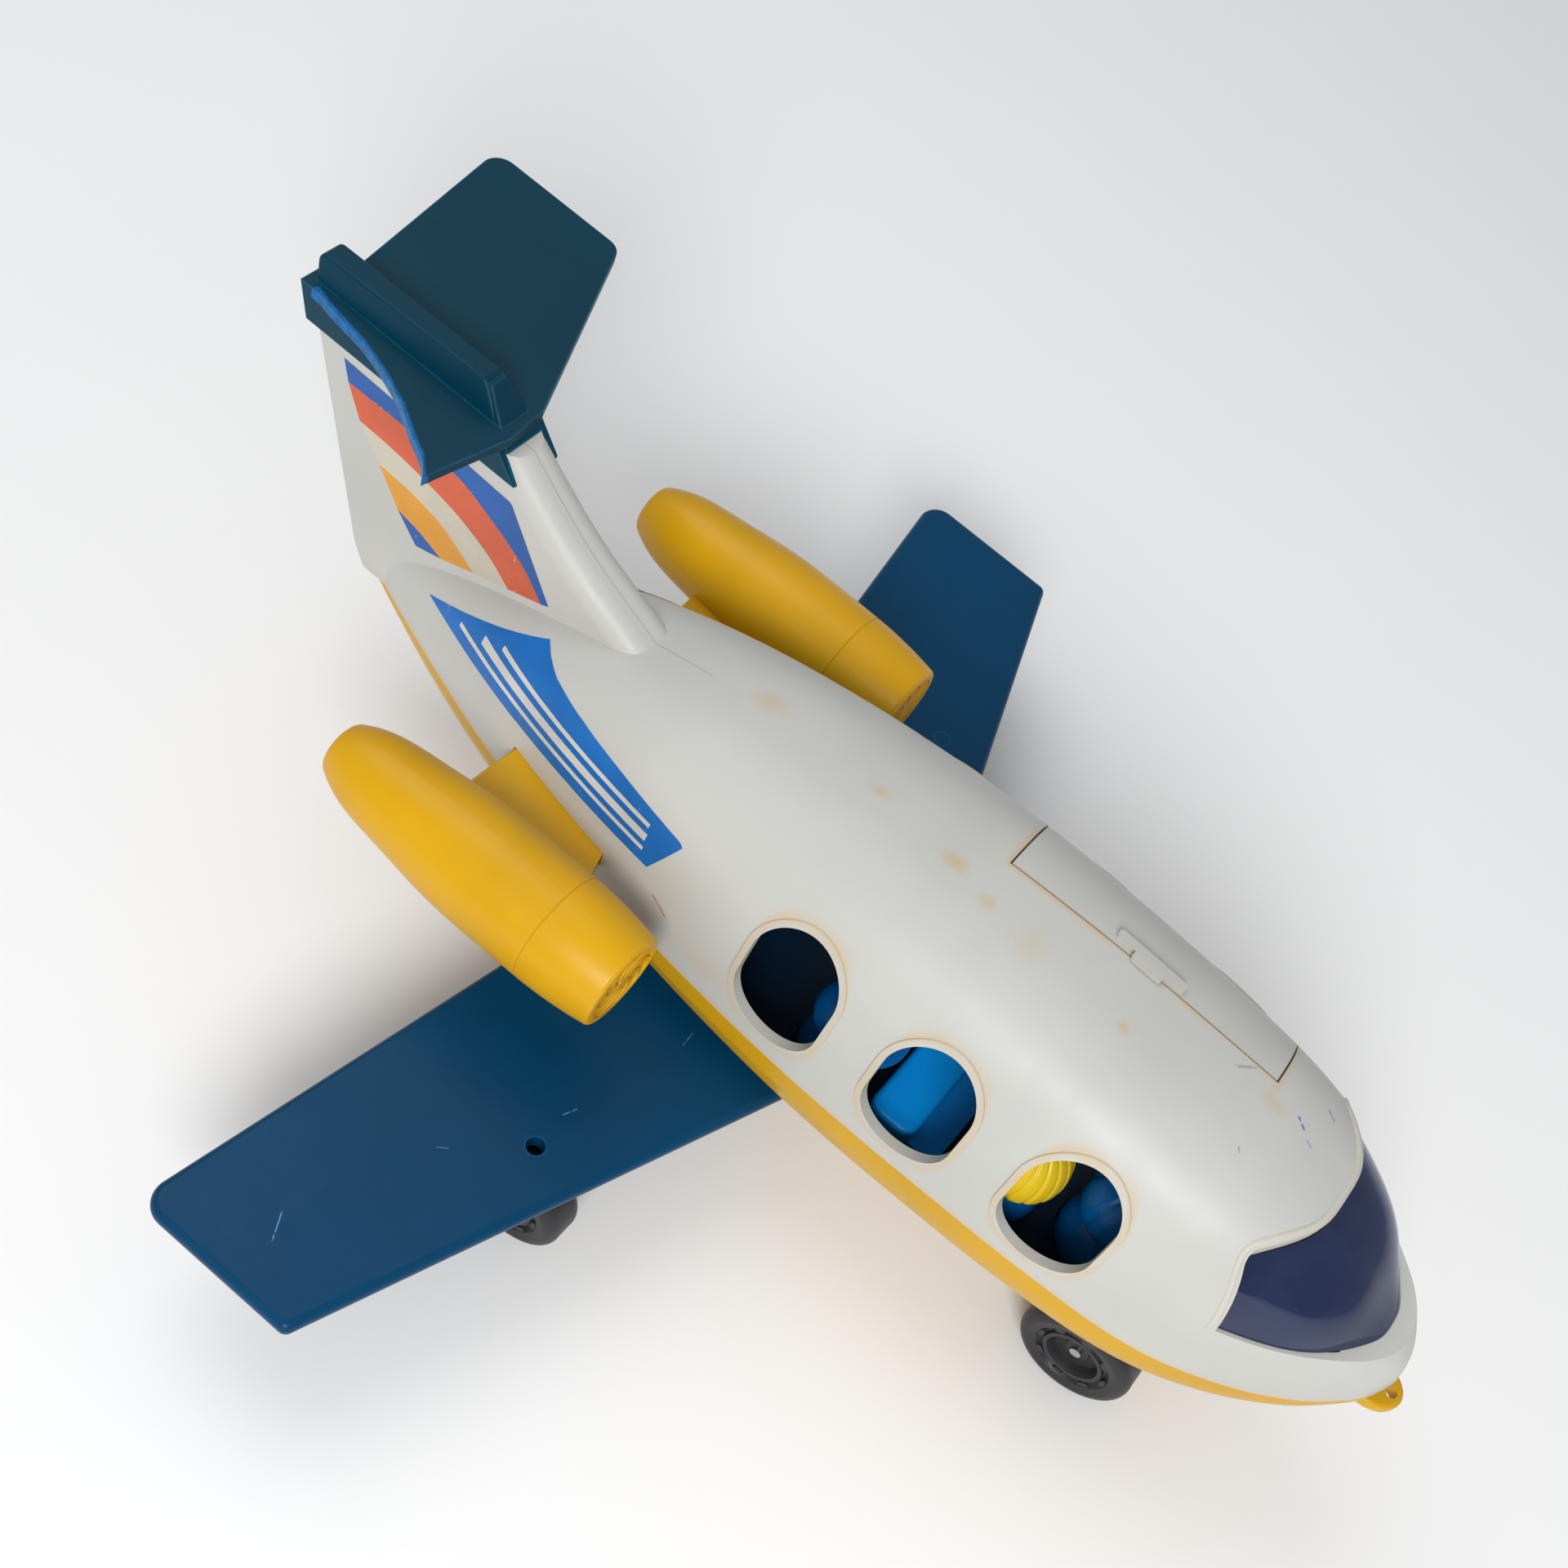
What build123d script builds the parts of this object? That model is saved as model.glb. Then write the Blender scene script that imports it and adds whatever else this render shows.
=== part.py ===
"""Toy jetliner: two-shell cabin, T-tail, blue wings, engine pods, drop-down door, wheels, peg passengers.

Millimetres. +X points to the nose, +Y to port, +Z up. The wheels stand on z = 0.
"""
from build123d import *
import os
from math import cos, pi, radians, sin, tan

os.makedirs("parts", exist_ok=True)

# ---- fuselage ----
SPLIT_Z = 57.5  # parting plane between the white and the yellow shell
WALL = 2.2
UPPER_EXPONENT = 2.8  # superellipse exponents: 2 is an ellipse, larger is boxier
LOWER_EXPONENT = 2.6
SECTION_STEPS = 20
# x, half width at the parting plane, crown height, keel height
HULL_STATIONS = [
    (-149, 2.0, 64.0, 55.5),
    (-134, 7.5, 73.5, 51.5),
    (-114, 15.0, 83.0, 46.0),
    (-88, 23.5, 93.5, 42.0),
    (-58, 30.5, 103.0, 38.5),
    (-22, 36.0, 109.5, 34.0),
    (18, 39.2, 112.8, 29.5),
    (58, 39.4, 112.8, 28.2),
    (93, 38.2, 110.2, 29.8),
    (118, 35.2, 107.0, 33.0),
    (136, 28.7, 101.3, 37.0),
    (151, 20.3, 89.5, 43.0),
    (162, 11.0, 79.5, 49.0),
    (168, 3.6, 68.0, 54.0),
    (169.3, 1.0, 62.5, 56.3),
]
SECTION_PITCH = 15.0  # spacing of the lofted sections along the barrel
NOSE_SECTIONS = [157.0, 162.0, 166.0, 168.3, 169.3]
ALL = (-200, 200)
TAIL_CAVITY = (-135, 152)  # x range of the upper hollow
KEEL_CAVITY = (-120, 163)  # x range of the lower hollow

# ---- windows and door ----
WINDOW_X = (8.0, 46.4, 84.9)
WINDOW_Z = 81.2
WINDOW_WIDTH = 23.7
WINDOW_HEIGHT = 34.0
RIM_WIDTH = 1.6
RIM_RISE = 0.45
DOOR_REAR_X = 28.4
DOOR_FRONT_X = 102.7
DOOR_TOP_Y_REAR = 6.0
DOOR_TOP_Y_FRONT = 8.7
DOOR_GAP = 0.25  # half of the gap round the door
DOOR_BOTTOM_Z = 60.0
HINGE_Y = 36.8
HINGE_Z = 60.6
HINGE_PIN_R = 0.9
KNUCKLE_R = 2.0
DOOR_KNUCKLES = ((44.0, 56.0), (72.0, 84.0))
HULL_KNUCKLES = ((36.0, 43.7), (56.3, 71.7), (84.3, 92.0))
LATCH_REAR_X = 56.0
LATCH_FRONT_X = 75.0
LATCH_BAR_Y = 9.6
LATCH_TAB_Y = 7.9
LATCH_RISE = 1.4
LATCH_CLEAR = 0.25

# ---- windshield ----
SILL_Z = 79.0
BROW = [(119.0, 24.4), (122.5, 20.0), (126.6, 14.0), (128.8, 8.5)]  # x, y of the brow's port half
BROW_MIDDLE_X = 129.3
BROW_CORNER_R = 2.5
GLASS_GAP = 0.3  # the glass sits this far ahead of the brow
GLASS_THICKNESS = 1.8
GLASS_SECTIONS = [112, 118, 124, 130, 136, 141.5, 147, 151.5, 155.4, 158.2]
# x, half width at the parting plane, crown height
GLASS_STATIONS = [
    (112, 35.2, 105.4),
    (122, 33.4, 103.4),
    (130, 30.6, 100.9),
    (138, 27.1, 97.2),
    (145, 23.0, 92.8),
    (151, 18.0, 86.4),
    (155.6, 13.0, 81.5),
    (158.2, 8.0, 77.5),
]

# ---- fin and tail cap ----
FIN_TOP_Z = 127.0
FIN_HALF_FRONT = 7.6
FIN_HALF_REAR = 5.7
FIN_REAR_X = -169.2
FIN_FRONT_X = -58.0
CAP_SKIRT = 1.5
CAP_BOTTOM_Z = 121.6
TAILPLANE_BOTTOM_Z = 128.6
TAILPLANE_TOP_Z = 131.2
RIB_TOP_Z = 138.6
# x, y along the break where the starboard tailplane snapped off
FRACTURE = [
    (-116.2, -28.2),
    (-121.1, -23.6),
    (-125.1, -21.5),
    (-133.1, -16.6),
    (-141.7, -12.8),
    (-151.5, -9.8),
    (-163.3, -7.9),
    (-167.4, -6.5),
]

# ---- wing ----
WING_THICKNESS = 4.6
WING_MIDDLE_Z = 33.8  # mid-plane height at the centre line
DIHEDRAL = 1.4  # degrees
WING_TIP_Y = 150.0
WING_HOLE_Y = 84.0
WING_HOLE_X = -14.2
WING_HOLE_R = 2.3

# ---- engine pods ----
POD_Y = 55.8
POD_Z = 70.7
POD_WALL = 2.2
POD_SEAM_X = -40.4
POD_FRONT_X = -20.6
POD_REAR_X = -105.0
POD_PROFILE = [(-103.4, 7.2), (-99.4, 9.1), (-83.7, 12.0), (-67.9, 13.8), (-52.1, 14.2), (-40.4, 14.1)]
INLET_PROFILE = [(-40.4, 14.1), (-30.5, 13.55), (-21.6, 12.3)]
PYLON_TOP_Z = 69.0
PYLON_THICKNESS = 4.5
FAN_R = 10.0
FAN_BLADES = 10

# ---- wheels and axles ----
WHEEL_R = 15.5
WHEEL_WIDTH = 11.3
NOSE_WHEEL_X = 112.9
NOSE_WHEEL_Y = 13.5  # inner face
MAIN_WHEEL_X = -14.6
MAIN_WHEEL_Y = 78.9  # inner face
AXLE_R = 1.5
AXLE_FIT = 0.06  # radial running clearance
PAD_COUNT = 8
TOW_HOLE_R = 1.5

# ---- interior ----
DECK_TOP_Z = 45.0
DECK_THICKNESS = 2.0
SOCKET_FLOOR_Z = 39.4
PEG_R = 10.5
SOCKET_CLEAR = 0.35
PEG_SEATS = {"girl": (71.0, -17.5), "boy": (22.5, -18.5), "pilot": (97.5, -11.5)}
SPARE_SEATS = [(71.0, 17.5), (22.5, 18.5)]
SEAT_BACK_X = 43.0
SEAT_BACK_DEPTH = 12.8
SEAT_HALF_WIDTH = 31.5
SEAT_TOP_Z = 58.5
PEG_BODY_HEIGHT = 15.5
HEAD_R = 9.2
HAIR_THICKNESS = {"girl": 3.2, "boy": 1.6, "pilot": 1.6}
DECK_POSTS = [(-32, 14), (-32, -14), (110, 20), (110, -20)]
SCREW_X = (-68.0, 154.0)  # tail boss, nose boss
SCREW_R = 1.3


def section_plane(x):
    """Plane across the fuselage at x: its own x runs to port, its own y runs up."""
    return Plane(origin=(x, 0, SPLIT_Z), x_dir=(0, 1, 0), z_dir=(1, 0, 0))


def half_section(half_width, height, exponent):
    """Points of a half superellipse, from port over the top (or keel) to starboard."""
    points = []
    for step in range(SECTION_STEPS + 1):
        angle = pi * step / SECTION_STEPS
        side = 1 if 2 * step <= SECTION_STEPS else -1
        across = side * half_width * abs(cos(angle)) ** (2 / exponent)
        rise = height * abs(sin(angle)) ** (2 / exponent)
        points.append((across, rise))
    return points


def loft_sections(stations, exponent):
    """Solid through half superellipses, each given as x, half width and signed height."""
    with BuildPart() as solid:
        for x, half_width, height in stations:
            points = half_section(half_width, height, exponent)
            direction = 1 if height > 0 else -1
            with BuildSketch(section_plane(x)):
                with BuildLine():
                    arch = Spline(points, tangents=[(0, direction), (0, -direction)])
                    Line(arch @ 1, arch @ 0)
                make_face()
        loft()
    return solid.part


def smooth(stations, x):
    """Every value of the station table at x, on a cubic curve through the stations."""
    count = len(stations)
    spans = [stations[i + 1][0] - stations[i][0] for i in range(count - 1)]
    here = max(i for i in range(count - 1) if i == 0 or stations[i][0] <= x)
    t = (x - stations[here][0]) / spans[here]
    values = []
    for column in range(1, len(stations[0])):
        slopes = [(stations[i + 1][column] - stations[i][column]) / spans[i] for i in range(count - 1)]
        tangents = []
        for i in (here, here + 1):
            if i == 0 or i == count - 1:
                tangents.append(slopes[min(i, count - 2)])
            else:
                weighted = slopes[i - 1] * spans[i] + slopes[i] * spans[i - 1]
                tangents.append(weighted / (spans[i] + spans[i - 1]))
        start = stations[here][column]
        rise = stations[here + 1][column] - start
        blend = 3 * t**2 - 2 * t**3
        bend = (t**3 - 2 * t**2 + t) * tangents[0] + (t**3 - t**2) * tangents[1]
        values.append(start + rise * blend + bend * spans[here])
    return values


def hull_sections(span):
    """x, half width, crown and keel at every lofted section within the x range."""
    first_x = HULL_STATIONS[0][0]
    barrel = [first_x + SECTION_PITCH * i for i in range(21)]
    return [(x, *smooth(HULL_STATIONS, x)) for x in barrel + NOSE_SECTIONS if span[0] <= x <= span[1]]


def upper_hull(inset=0.0, span=ALL):
    """Fuselage above the parting plane, shrunk by inset."""
    sections = [(x, w - inset, top - SPLIT_Z - inset) for x, w, top, keel in hull_sections(span)]
    return loft_sections(sections, UPPER_EXPONENT)


def lower_hull_solid(inset=0.0, span=ALL):
    """Fuselage below the parting plane, shrunk by inset."""
    sections = [(x, w - inset, keel - SPLIT_Z + inset) for x, w, top, keel in hull_sections(span)]
    return loft_sections(sections, LOWER_EXPONENT)


def glass_solid(inset):
    """Bubble of the windshield, shrunk by inset."""
    sections = [(x, *smooth(GLASS_STATIONS, x)) for x in GLASS_SECTIONS]
    shrunk = [(x - inset / 2, w - inset, top - SPLIT_Z - inset) for x, w, top in sections]
    return loft_sections(shrunk, UPPER_EXPONENT)


def window_prism(positions, grow, to_port):
    """Upright stadiums, cut straight across the fuselage from its middle."""
    with BuildPart() as prism:
        with BuildSketch(Plane.XZ):
            with Locations([(x, WINDOW_Z) for x in positions]):
                SlotOverall(WINDOW_HEIGHT + 2 * grow, WINDOW_WIDTH + 2 * grow, rotation=90)
        extrude(amount=-60 if to_port else 60)
    return prism.part


def door_block(gap, bottom_z):
    """Everything to port of the door's top edge, between its front and rear edges."""
    with BuildPart() as block:
        with BuildSketch(Plane.XY.offset(bottom_z)):
            with BuildLine():
                Polyline(
                    (DOOR_REAR_X + gap, DOOR_TOP_Y_REAR + gap),
                    (DOOR_FRONT_X - gap, DOOR_TOP_Y_FRONT + gap),
                    (DOOR_FRONT_X - gap, 60),
                    (DOOR_REAR_X + gap, 60),
                    close=True,
                )
            make_face()
        extrude(amount=130 - bottom_z)
    return block.part


def windshield_block(shift, bottom_z):
    """Everything ahead of the brow line, moved forward by shift, and above bottom_z."""
    with BuildPart() as block:
        with BuildSketch(Plane(origin=(shift, 0, bottom_z))) as outline:
            with BuildLine():
                port = [(x, y) for x, y in BROW]
                starboard = [(x, -y) for x, y in reversed(BROW)]
                brow = Spline(port + [(BROW_MIDDLE_X, 0)] + starboard)
                Polyline(brow @ 1, (134, -38.9), (180, -38.9), (180, 38.9), (134, 38.9), brow @ 0)
            make_face()
            corners = outline.vertices().filter_by_position(Axis.X, 118, 120)
            fillet(corners, BROW_CORNER_R)
        extrude(amount=130 - bottom_z)
    return block.part


def pylon_plate(gap):
    """Flat strut plate that carries the port pod through a slot in the cabin wall."""
    with BuildPart() as plate:
        with BuildSketch(Plane.XY.offset(PYLON_TOP_Z - PYLON_THICKNESS - gap)) as outline:
            with BuildLine():
                Polyline((-80.4, 44), (-42.6, 44), (-46, 33), (-46, 20), (-79, 20), close=True)
            make_face()
            fillet(outline.vertices().filter_by_position(Axis.Y, 32, 34), 6)
            if gap:
                offset(amount=gap)
        extrude(amount=PYLON_THICKNESS + 2 * gap)
        if not gap:
            upright = plate.faces().filter_by(Axis.Z, reverse=True)
            chamfer(upright.sort_by(Axis.X)[0].edges().filter_by(Axis.Z, reverse=True), 0.8)
    return plate.part


def knuckles(spans, radius, grow=0.0):
    """Cylinders on the door hinge's axis."""
    with BuildPart() as barrel:
        for start, end in spans:
            plane = Plane(origin=(start - grow, HINGE_Y, HINGE_Z), z_dir=(1, 0, 0))
            with BuildSketch(plane):
                Circle(radius)
            extrude(amount=end - start + 2 * grow)
    return barrel.part


def cylinder_y(x, z, start_y, end_y, radius):
    """Cylinder along Y."""
    with BuildPart() as rod:
        with BuildSketch(Plane(origin=(x, start_y, z), z_dir=(0, 1, 0))):
            Circle(radius)
        extrude(amount=end_y - start_y)
    return rod.part


def cylinder_z(x, y, bottom_z, top_z, radius):
    """Cylinder along Z."""
    with BuildPart() as rod:
        with BuildSketch(Plane(origin=(x, y, bottom_z))):
            Circle(radius)
        extrude(amount=top_z - bottom_z)
    return rod.part


def gear_leg(x, inner_y, outer_y, top_z, half_top, foot_r):
    """Landing-gear leg: wide under the hull or wing, round about the axle."""
    with BuildPart() as leg:
        with BuildSketch(Plane(origin=(x, inner_y, 0), x_dir=(-1, 0, 0), z_dir=(0, 1, 0))):
            with BuildLine():
                Polyline((-foot_r, WHEEL_R), (-half_top, top_z), (half_top, top_z), (foot_r, WHEEL_R))
                ThreePointArc((foot_r, WHEEL_R), (0, WHEEL_R - foot_r), (-foot_r, WHEEL_R))
            make_face()
        extrude(amount=outer_y - inner_y)
        outline = leg.faces().filter_by(Axis.Y).edges().filter_by_position(Axis.Z, 0, top_z - 2)
        chamfer(outline, 0.8)
    return leg.part


def save(part, name):
    """Label a finished piece and write it to its own file."""
    part.label = name
    export_step(part, f"parts/{name}.step")


# ---------------------------------------------------------------- shared hull solids
upper_outer = upper_hull()
upper_cavity = upper_hull(WALL, TAIL_CAVITY)
rim_skin = upper_hull(-RIM_RISE)
starboard_windows = window_prism(WINDOW_X, 0, False)
port_windows = window_prism(WINDOW_X, 0, True)

# ---------------------------------------------------------------- fin
with BuildPart() as fin:
    with BuildSketch(Plane.XZ):
        with BuildLine():
            leading = Spline((-56, 94.5), (-66, 101), (-83.7, 109.4), (-101, 121), (-108.5, FIN_TOP_Z))
            Polyline(
                leading @ 1,
                (FIN_REAR_X, FIN_TOP_Z),
                (-149.8, 66.4),
                (-144.3, SPLIT_Z),
                (-100, SPLIT_Z),
                leading @ 0,
            )
        make_face()
    extrude(amount=FIN_HALF_FRONT + 2, both=True)
    with BuildSketch(Plane.XY.offset(SPLIT_Z)):
        with BuildLine():
            Polyline(
                (FIN_REAR_X - 4, FIN_HALF_REAR),
                (FIN_FRONT_X + 6, FIN_HALF_FRONT),
                (FIN_FRONT_X + 6, -FIN_HALF_FRONT),
                (FIN_REAR_X - 4, -FIN_HALF_REAR),
                close=True,
            )
        make_face()
    extrude(amount=FIN_TOP_Z - SPLIT_Z + 5, mode=Mode.INTERSECT)
    fillet(fin.edges().filter_by(GeomType.BSPLINE), 5.0)
    rear_face_edges = fin.faces().sort_by(Axis.X)[0].edges()
    fillet(rear_face_edges.filter_by(Axis.Y, reverse=True), 1.4)

with BuildPart() as fin_hollow:
    with BuildSketch(Plane.XZ):
        with BuildLine():
            Polyline((-84, 80), (-92, 110), (-108, 120), (-162, 120), (-147, 70), (-130, 62), close=True)
        make_face()
    extrude(amount=FIN_HALF_REAR - WALL, both=True)

# ---------------------------------------------------------------- upper shell
with BuildPart() as port_rim:
    add(window_prism(WINDOW_X[:1], RIM_WIDTH, True))
    add(rim_skin, mode=Mode.INTERSECT)

with BuildPart() as starboard_rims:
    add(window_prism(WINDOW_X, RIM_WIDTH, False))
    add(rim_skin, mode=Mode.INTERSECT)

with BuildPart() as upper_shell:
    add(upper_outer)
    add(fin.part)
    add(port_rim.part)
    add(starboard_rims.part)
    add(upper_cavity, mode=Mode.SUBTRACT)
    add(fin_hollow.part, mode=Mode.SUBTRACT)
    add(cylinder_z(SCREW_X[0], 0, SPLIT_Z, 98, 4.0))
    for x in SCREW_X:
        add(cylinder_z(x, 0, SPLIT_Z - 1, 69, SCREW_R), mode=Mode.SUBTRACT)
    add(starboard_windows, mode=Mode.SUBTRACT)
    add(window_prism(WINDOW_X[:1], 0, True), mode=Mode.SUBTRACT)
    add(door_block(-DOOR_GAP, SPLIT_Z - 1), mode=Mode.SUBTRACT)
    add(windshield_block(0, SILL_Z), mode=Mode.SUBTRACT)
    add(pylon_plate(0.15), mode=Mode.SUBTRACT)
    add(mirror(pylon_plate(0.15), about=Plane.XZ, mode=Mode.PRIVATE), mode=Mode.SUBTRACT)
save(upper_shell.part, "upper_shell")

# ---------------------------------------------------------------- windshield
with BuildPart() as windshield:
    add(glass_solid(0))
    add(windshield_block(GLASS_GAP, SILL_Z + 0.05), mode=Mode.INTERSECT)
    add(glass_solid(GLASS_THICKNESS), mode=Mode.SUBTRACT)
save(windshield.part, "windshield")


# ---------------------------------------------------------------- door
with BuildPart() as door_rims:
    add(window_prism(WINDOW_X[1:], RIM_WIDTH, True))
    add(rim_skin, mode=Mode.INTERSECT)

latch_skin = upper_hull(-LATCH_RISE)
latch_floor = upper_hull(-LATCH_CLEAR)
latch_middle = (LATCH_REAR_X + LATCH_FRONT_X) / 2
with BuildPart() as latch_bar:
    with BuildSketch(Plane.XY.offset(100)):
        with Locations((latch_middle, LATCH_BAR_Y)):
            RectangleRounded(LATCH_FRONT_X - LATCH_REAR_X, 2.4, 0.8)
    extrude(amount=30)
    add(latch_skin, mode=Mode.INTERSECT)
with BuildPart() as latch_tab:
    with BuildSketch(Plane.XY.offset(100)):
        with Locations((latch_middle, LATCH_TAB_Y)):
            RectangleRounded(8.4, 4.0, 0.8)
    extrude(amount=30)
    add(latch_skin, mode=Mode.INTERSECT)
    add(latch_floor, mode=Mode.SUBTRACT)

with BuildPart() as door:
    add(upper_outer)
    add(door_rims.part)
    add(latch_bar.part)
    add(upper_cavity, mode=Mode.SUBTRACT)
    add(port_windows, mode=Mode.SUBTRACT)
    add(door_block(DOOR_GAP, DOOR_BOTTOM_Z), mode=Mode.INTERSECT)
    add(latch_tab.part)
    add(knuckles(HULL_KNUCKLES, KNUCKLE_R + 1.2, 0.3), mode=Mode.SUBTRACT)
    add(knuckles(DOOR_KNUCKLES, KNUCKLE_R))
    add(knuckles([(30, 100)], HINGE_PIN_R + AXLE_FIT), mode=Mode.SUBTRACT)
save(door.part, "door")

save(knuckles([(HULL_KNUCKLES[0][0] + 0.5, HULL_KNUCKLES[-1][1] - 0.5)], HINGE_PIN_R), "door_hinge_pin")

# ---------------------------------------------------------------- wing
slope = tan(radians(DIHEDRAL))
wing_plane = Plane(origin=(0, 0, WING_MIDDLE_Z), x_dir=(1, 0, 0), z_dir=(0, -slope, 1))
with BuildPart() as wing_half:
    with BuildSketch(wing_plane.offset(-WING_THICKNESS / 2)) as wing_outline:
        with BuildLine():
            Polyline((-40.6, 0), (-63.8, WING_TIP_Y), (-25.2, WING_TIP_Y), (28.4, 0), close=True)
        make_face()
        tips = wing_outline.vertices().sort_by(Axis.Y)[-2:]
        fillet(tips.sort_by(Axis.X)[0], 3.7)
        fillet(tips.sort_by(Axis.X)[1], 5.7)
        offset(amount=WING_THICKNESS / 2)
    extrude(amount=WING_THICKNESS)
    flat_faces = wing_half.faces().sort_by(SortBy.AREA)[-2:]
    fillet(flat_faces.edges(), WING_THICKNESS / 2 - 0.2)
    split(bisect_by=Plane.XZ, keep=Keep.BOTTOM)

with BuildPart() as wing:
    add(wing_half.part)
    mirror(about=Plane.XZ)
    for side in (1, -1):
        hole_y = side * WING_HOLE_Y
        leg_inner = MAIN_WHEEL_Y - 9.5
        leg_outer = MAIN_WHEEL_Y - 1.3
        leg = gear_leg(MAIN_WHEEL_X, leg_inner, leg_outer, 34.6, 10.0, 6.5)
        collar = cylinder_y(MAIN_WHEEL_X, WHEEL_R, leg_outer - 1, MAIN_WHEEL_Y - 0.3, 3.6)
        socket = cylinder_y(MAIN_WHEEL_X, WHEEL_R, leg_inner + 1.5, MAIN_WHEEL_Y, AXLE_R)
        if side < 0:
            leg = leg.mirror(Plane.XZ)
            collar = collar.mirror(Plane.XZ)
            socket = socket.mirror(Plane.XZ)
        add(leg)
        add(collar)
        add(socket, mode=Mode.SUBTRACT)
        add(cylinder_z(WING_HOLE_X, hole_y, 30, 45, WING_HOLE_R), mode=Mode.SUBTRACT)
save(wing.part, "wing")

# ---------------------------------------------------------------- lower hull
with BuildPart() as tow_tab:
    with BuildSketch(Plane.XY.offset(SPLIT_Z - 3.7)):
        with Locations((165.4, 0)):
            Ellipse(9.0, 6.4)
        with Locations((171.2, 0)):
            Circle(TOW_HOLE_R, mode=Mode.SUBTRACT)
    extrude(amount=3.7)
    rims = tow_tab.edges().filter_by(GeomType.ELLIPSE)
    fillet(rims, 1.0)

with BuildPart() as wing_slot:
    for side in (1, -1):
        side_plane = Plane(origin=(0, 0, WING_MIDDLE_Z), x_dir=(1, 0, 0), z_dir=(0, -side * slope, 1))
        with BuildSketch(side_plane.offset(-WING_THICKNESS / 2)):
            with BuildLine():
                Polyline((-43.2, 0), (-54, side * 60), (9.6, side * 60), (31.2, 0), close=True)
            make_face()
        extrude(amount=WING_THICKNESS)

with BuildPart() as lower_hull:
    add(lower_hull_solid())
    add(tow_tab.part)
    add(gear_leg(NOSE_WHEEL_X, -8.5, 8.5, 37, 11.0, 6.8))
    add(cylinder_y(NOSE_WHEEL_X, WHEEL_R, -NOSE_WHEEL_Y + 0.3, NOSE_WHEEL_Y - 0.3, 3.8))
    add(lower_hull_solid(WALL, KEEL_CAVITY), mode=Mode.SUBTRACT)
    add(cylinder_z(SCREW_X[0], 0, 41, SPLIT_Z, 4.0))
    add(cylinder_z(SCREW_X[1], 0, 45.5, SPLIT_Z, 4.0))
    for x in SCREW_X:
        add(cylinder_z(x, 0, 30, 60, SCREW_R + 0.2), mode=Mode.SUBTRACT)
        add(cylinder_z(x, 0, 30, 52, 2.8), mode=Mode.SUBTRACT)
    for x, y in DECK_POSTS:
        add(cylinder_z(x, y, 34, DECK_TOP_Z - DECK_THICKNESS, 3.0))
    add(wing_slot.part, mode=Mode.SUBTRACT)
    for start, end in HULL_KNUCKLES:
        web = Pos((start + end) / 2, HINGE_Y + 0.3, 56.6) * Box(end - start, 3.0, 6.0, mode=Mode.PRIVATE)
        add(web)
    add(knuckles(HULL_KNUCKLES, KNUCKLE_R))
    add(knuckles([(34, 94)], HINGE_PIN_R), mode=Mode.SUBTRACT)
    axle_bore = cylinder_y(NOSE_WHEEL_X, WHEEL_R, -20, 20, AXLE_R + AXLE_FIT)
    add(axle_bore, mode=Mode.SUBTRACT)
save(lower_hull.part, "lower_hull")

# ---------------------------------------------------------------- screws that join the shells
with BuildPart() as shell_screws:
    for x in SCREW_X:
        with BuildSketch(Plane(origin=(x, 0, 49.4))):
            Circle(2.6)
            Rectangle(3.6, 0.7, mode=Mode.SUBTRACT)
            Rectangle(0.7, 3.6, mode=Mode.SUBTRACT)
        extrude(amount=1.2)
        with BuildSketch(Plane(origin=(x, 0, 50.6))):
            Circle(2.6)
        extrude(amount=1.4)
        add(cylinder_z(x, 0, 51.5, 67.0, SCREW_R))
save(shell_screws.part, "shell_screws")

# ---------------------------------------------------------------- tail cap with the broken tailplane
with BuildPart() as cap_skirt:
    with BuildSketch(Plane.XZ):
        with BuildLine():
            Polyline(
                (FIN_REAR_X + 0.2, CAP_BOTTOM_Z),
                (FIN_REAR_X - 2.4, TAILPLANE_TOP_Z),
                (-115.4, TAILPLANE_TOP_Z),
                (-107.0, CAP_BOTTOM_Z),
                close=True,
            )
        make_face()
    extrude(amount=12, both=True)
    with BuildSketch(Plane.XY.offset(CAP_BOTTOM_Z)) as skirt_plan:
        with BuildLine():
            half_rear = FIN_HALF_REAR + CAP_SKIRT
            half_front = FIN_HALF_FRONT + CAP_SKIRT - 0.6
            Polyline(
                (FIN_REAR_X - 3, half_rear),
                (-104.0, half_front - 1.0),
                (-104.0, 1.0 - half_front),
                (FIN_REAR_X - 3, -half_rear),
                close=True,
            )
        make_face()
    extrude(amount=12, mode=Mode.INTERSECT)

with BuildPart() as cap_prow:
    with BuildSketch(Plane.XY.offset(CAP_BOTTOM_Z)):
        with Locations((-119.0, 0)):
            Rectangle(24.4, 15.0)
    with BuildSketch(Plane.XY.offset(RIB_TOP_Z - 0.6)):
        with Locations((-126.5, 0)):
            Rectangle(11.0, 4.8)
    loft()
    prow_edges = cap_prow.edges().filter_by_position(Axis.Z, 125, 136)
    fillet(prow_edges.sort_by(Axis.X)[-2:], 0.8)

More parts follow.
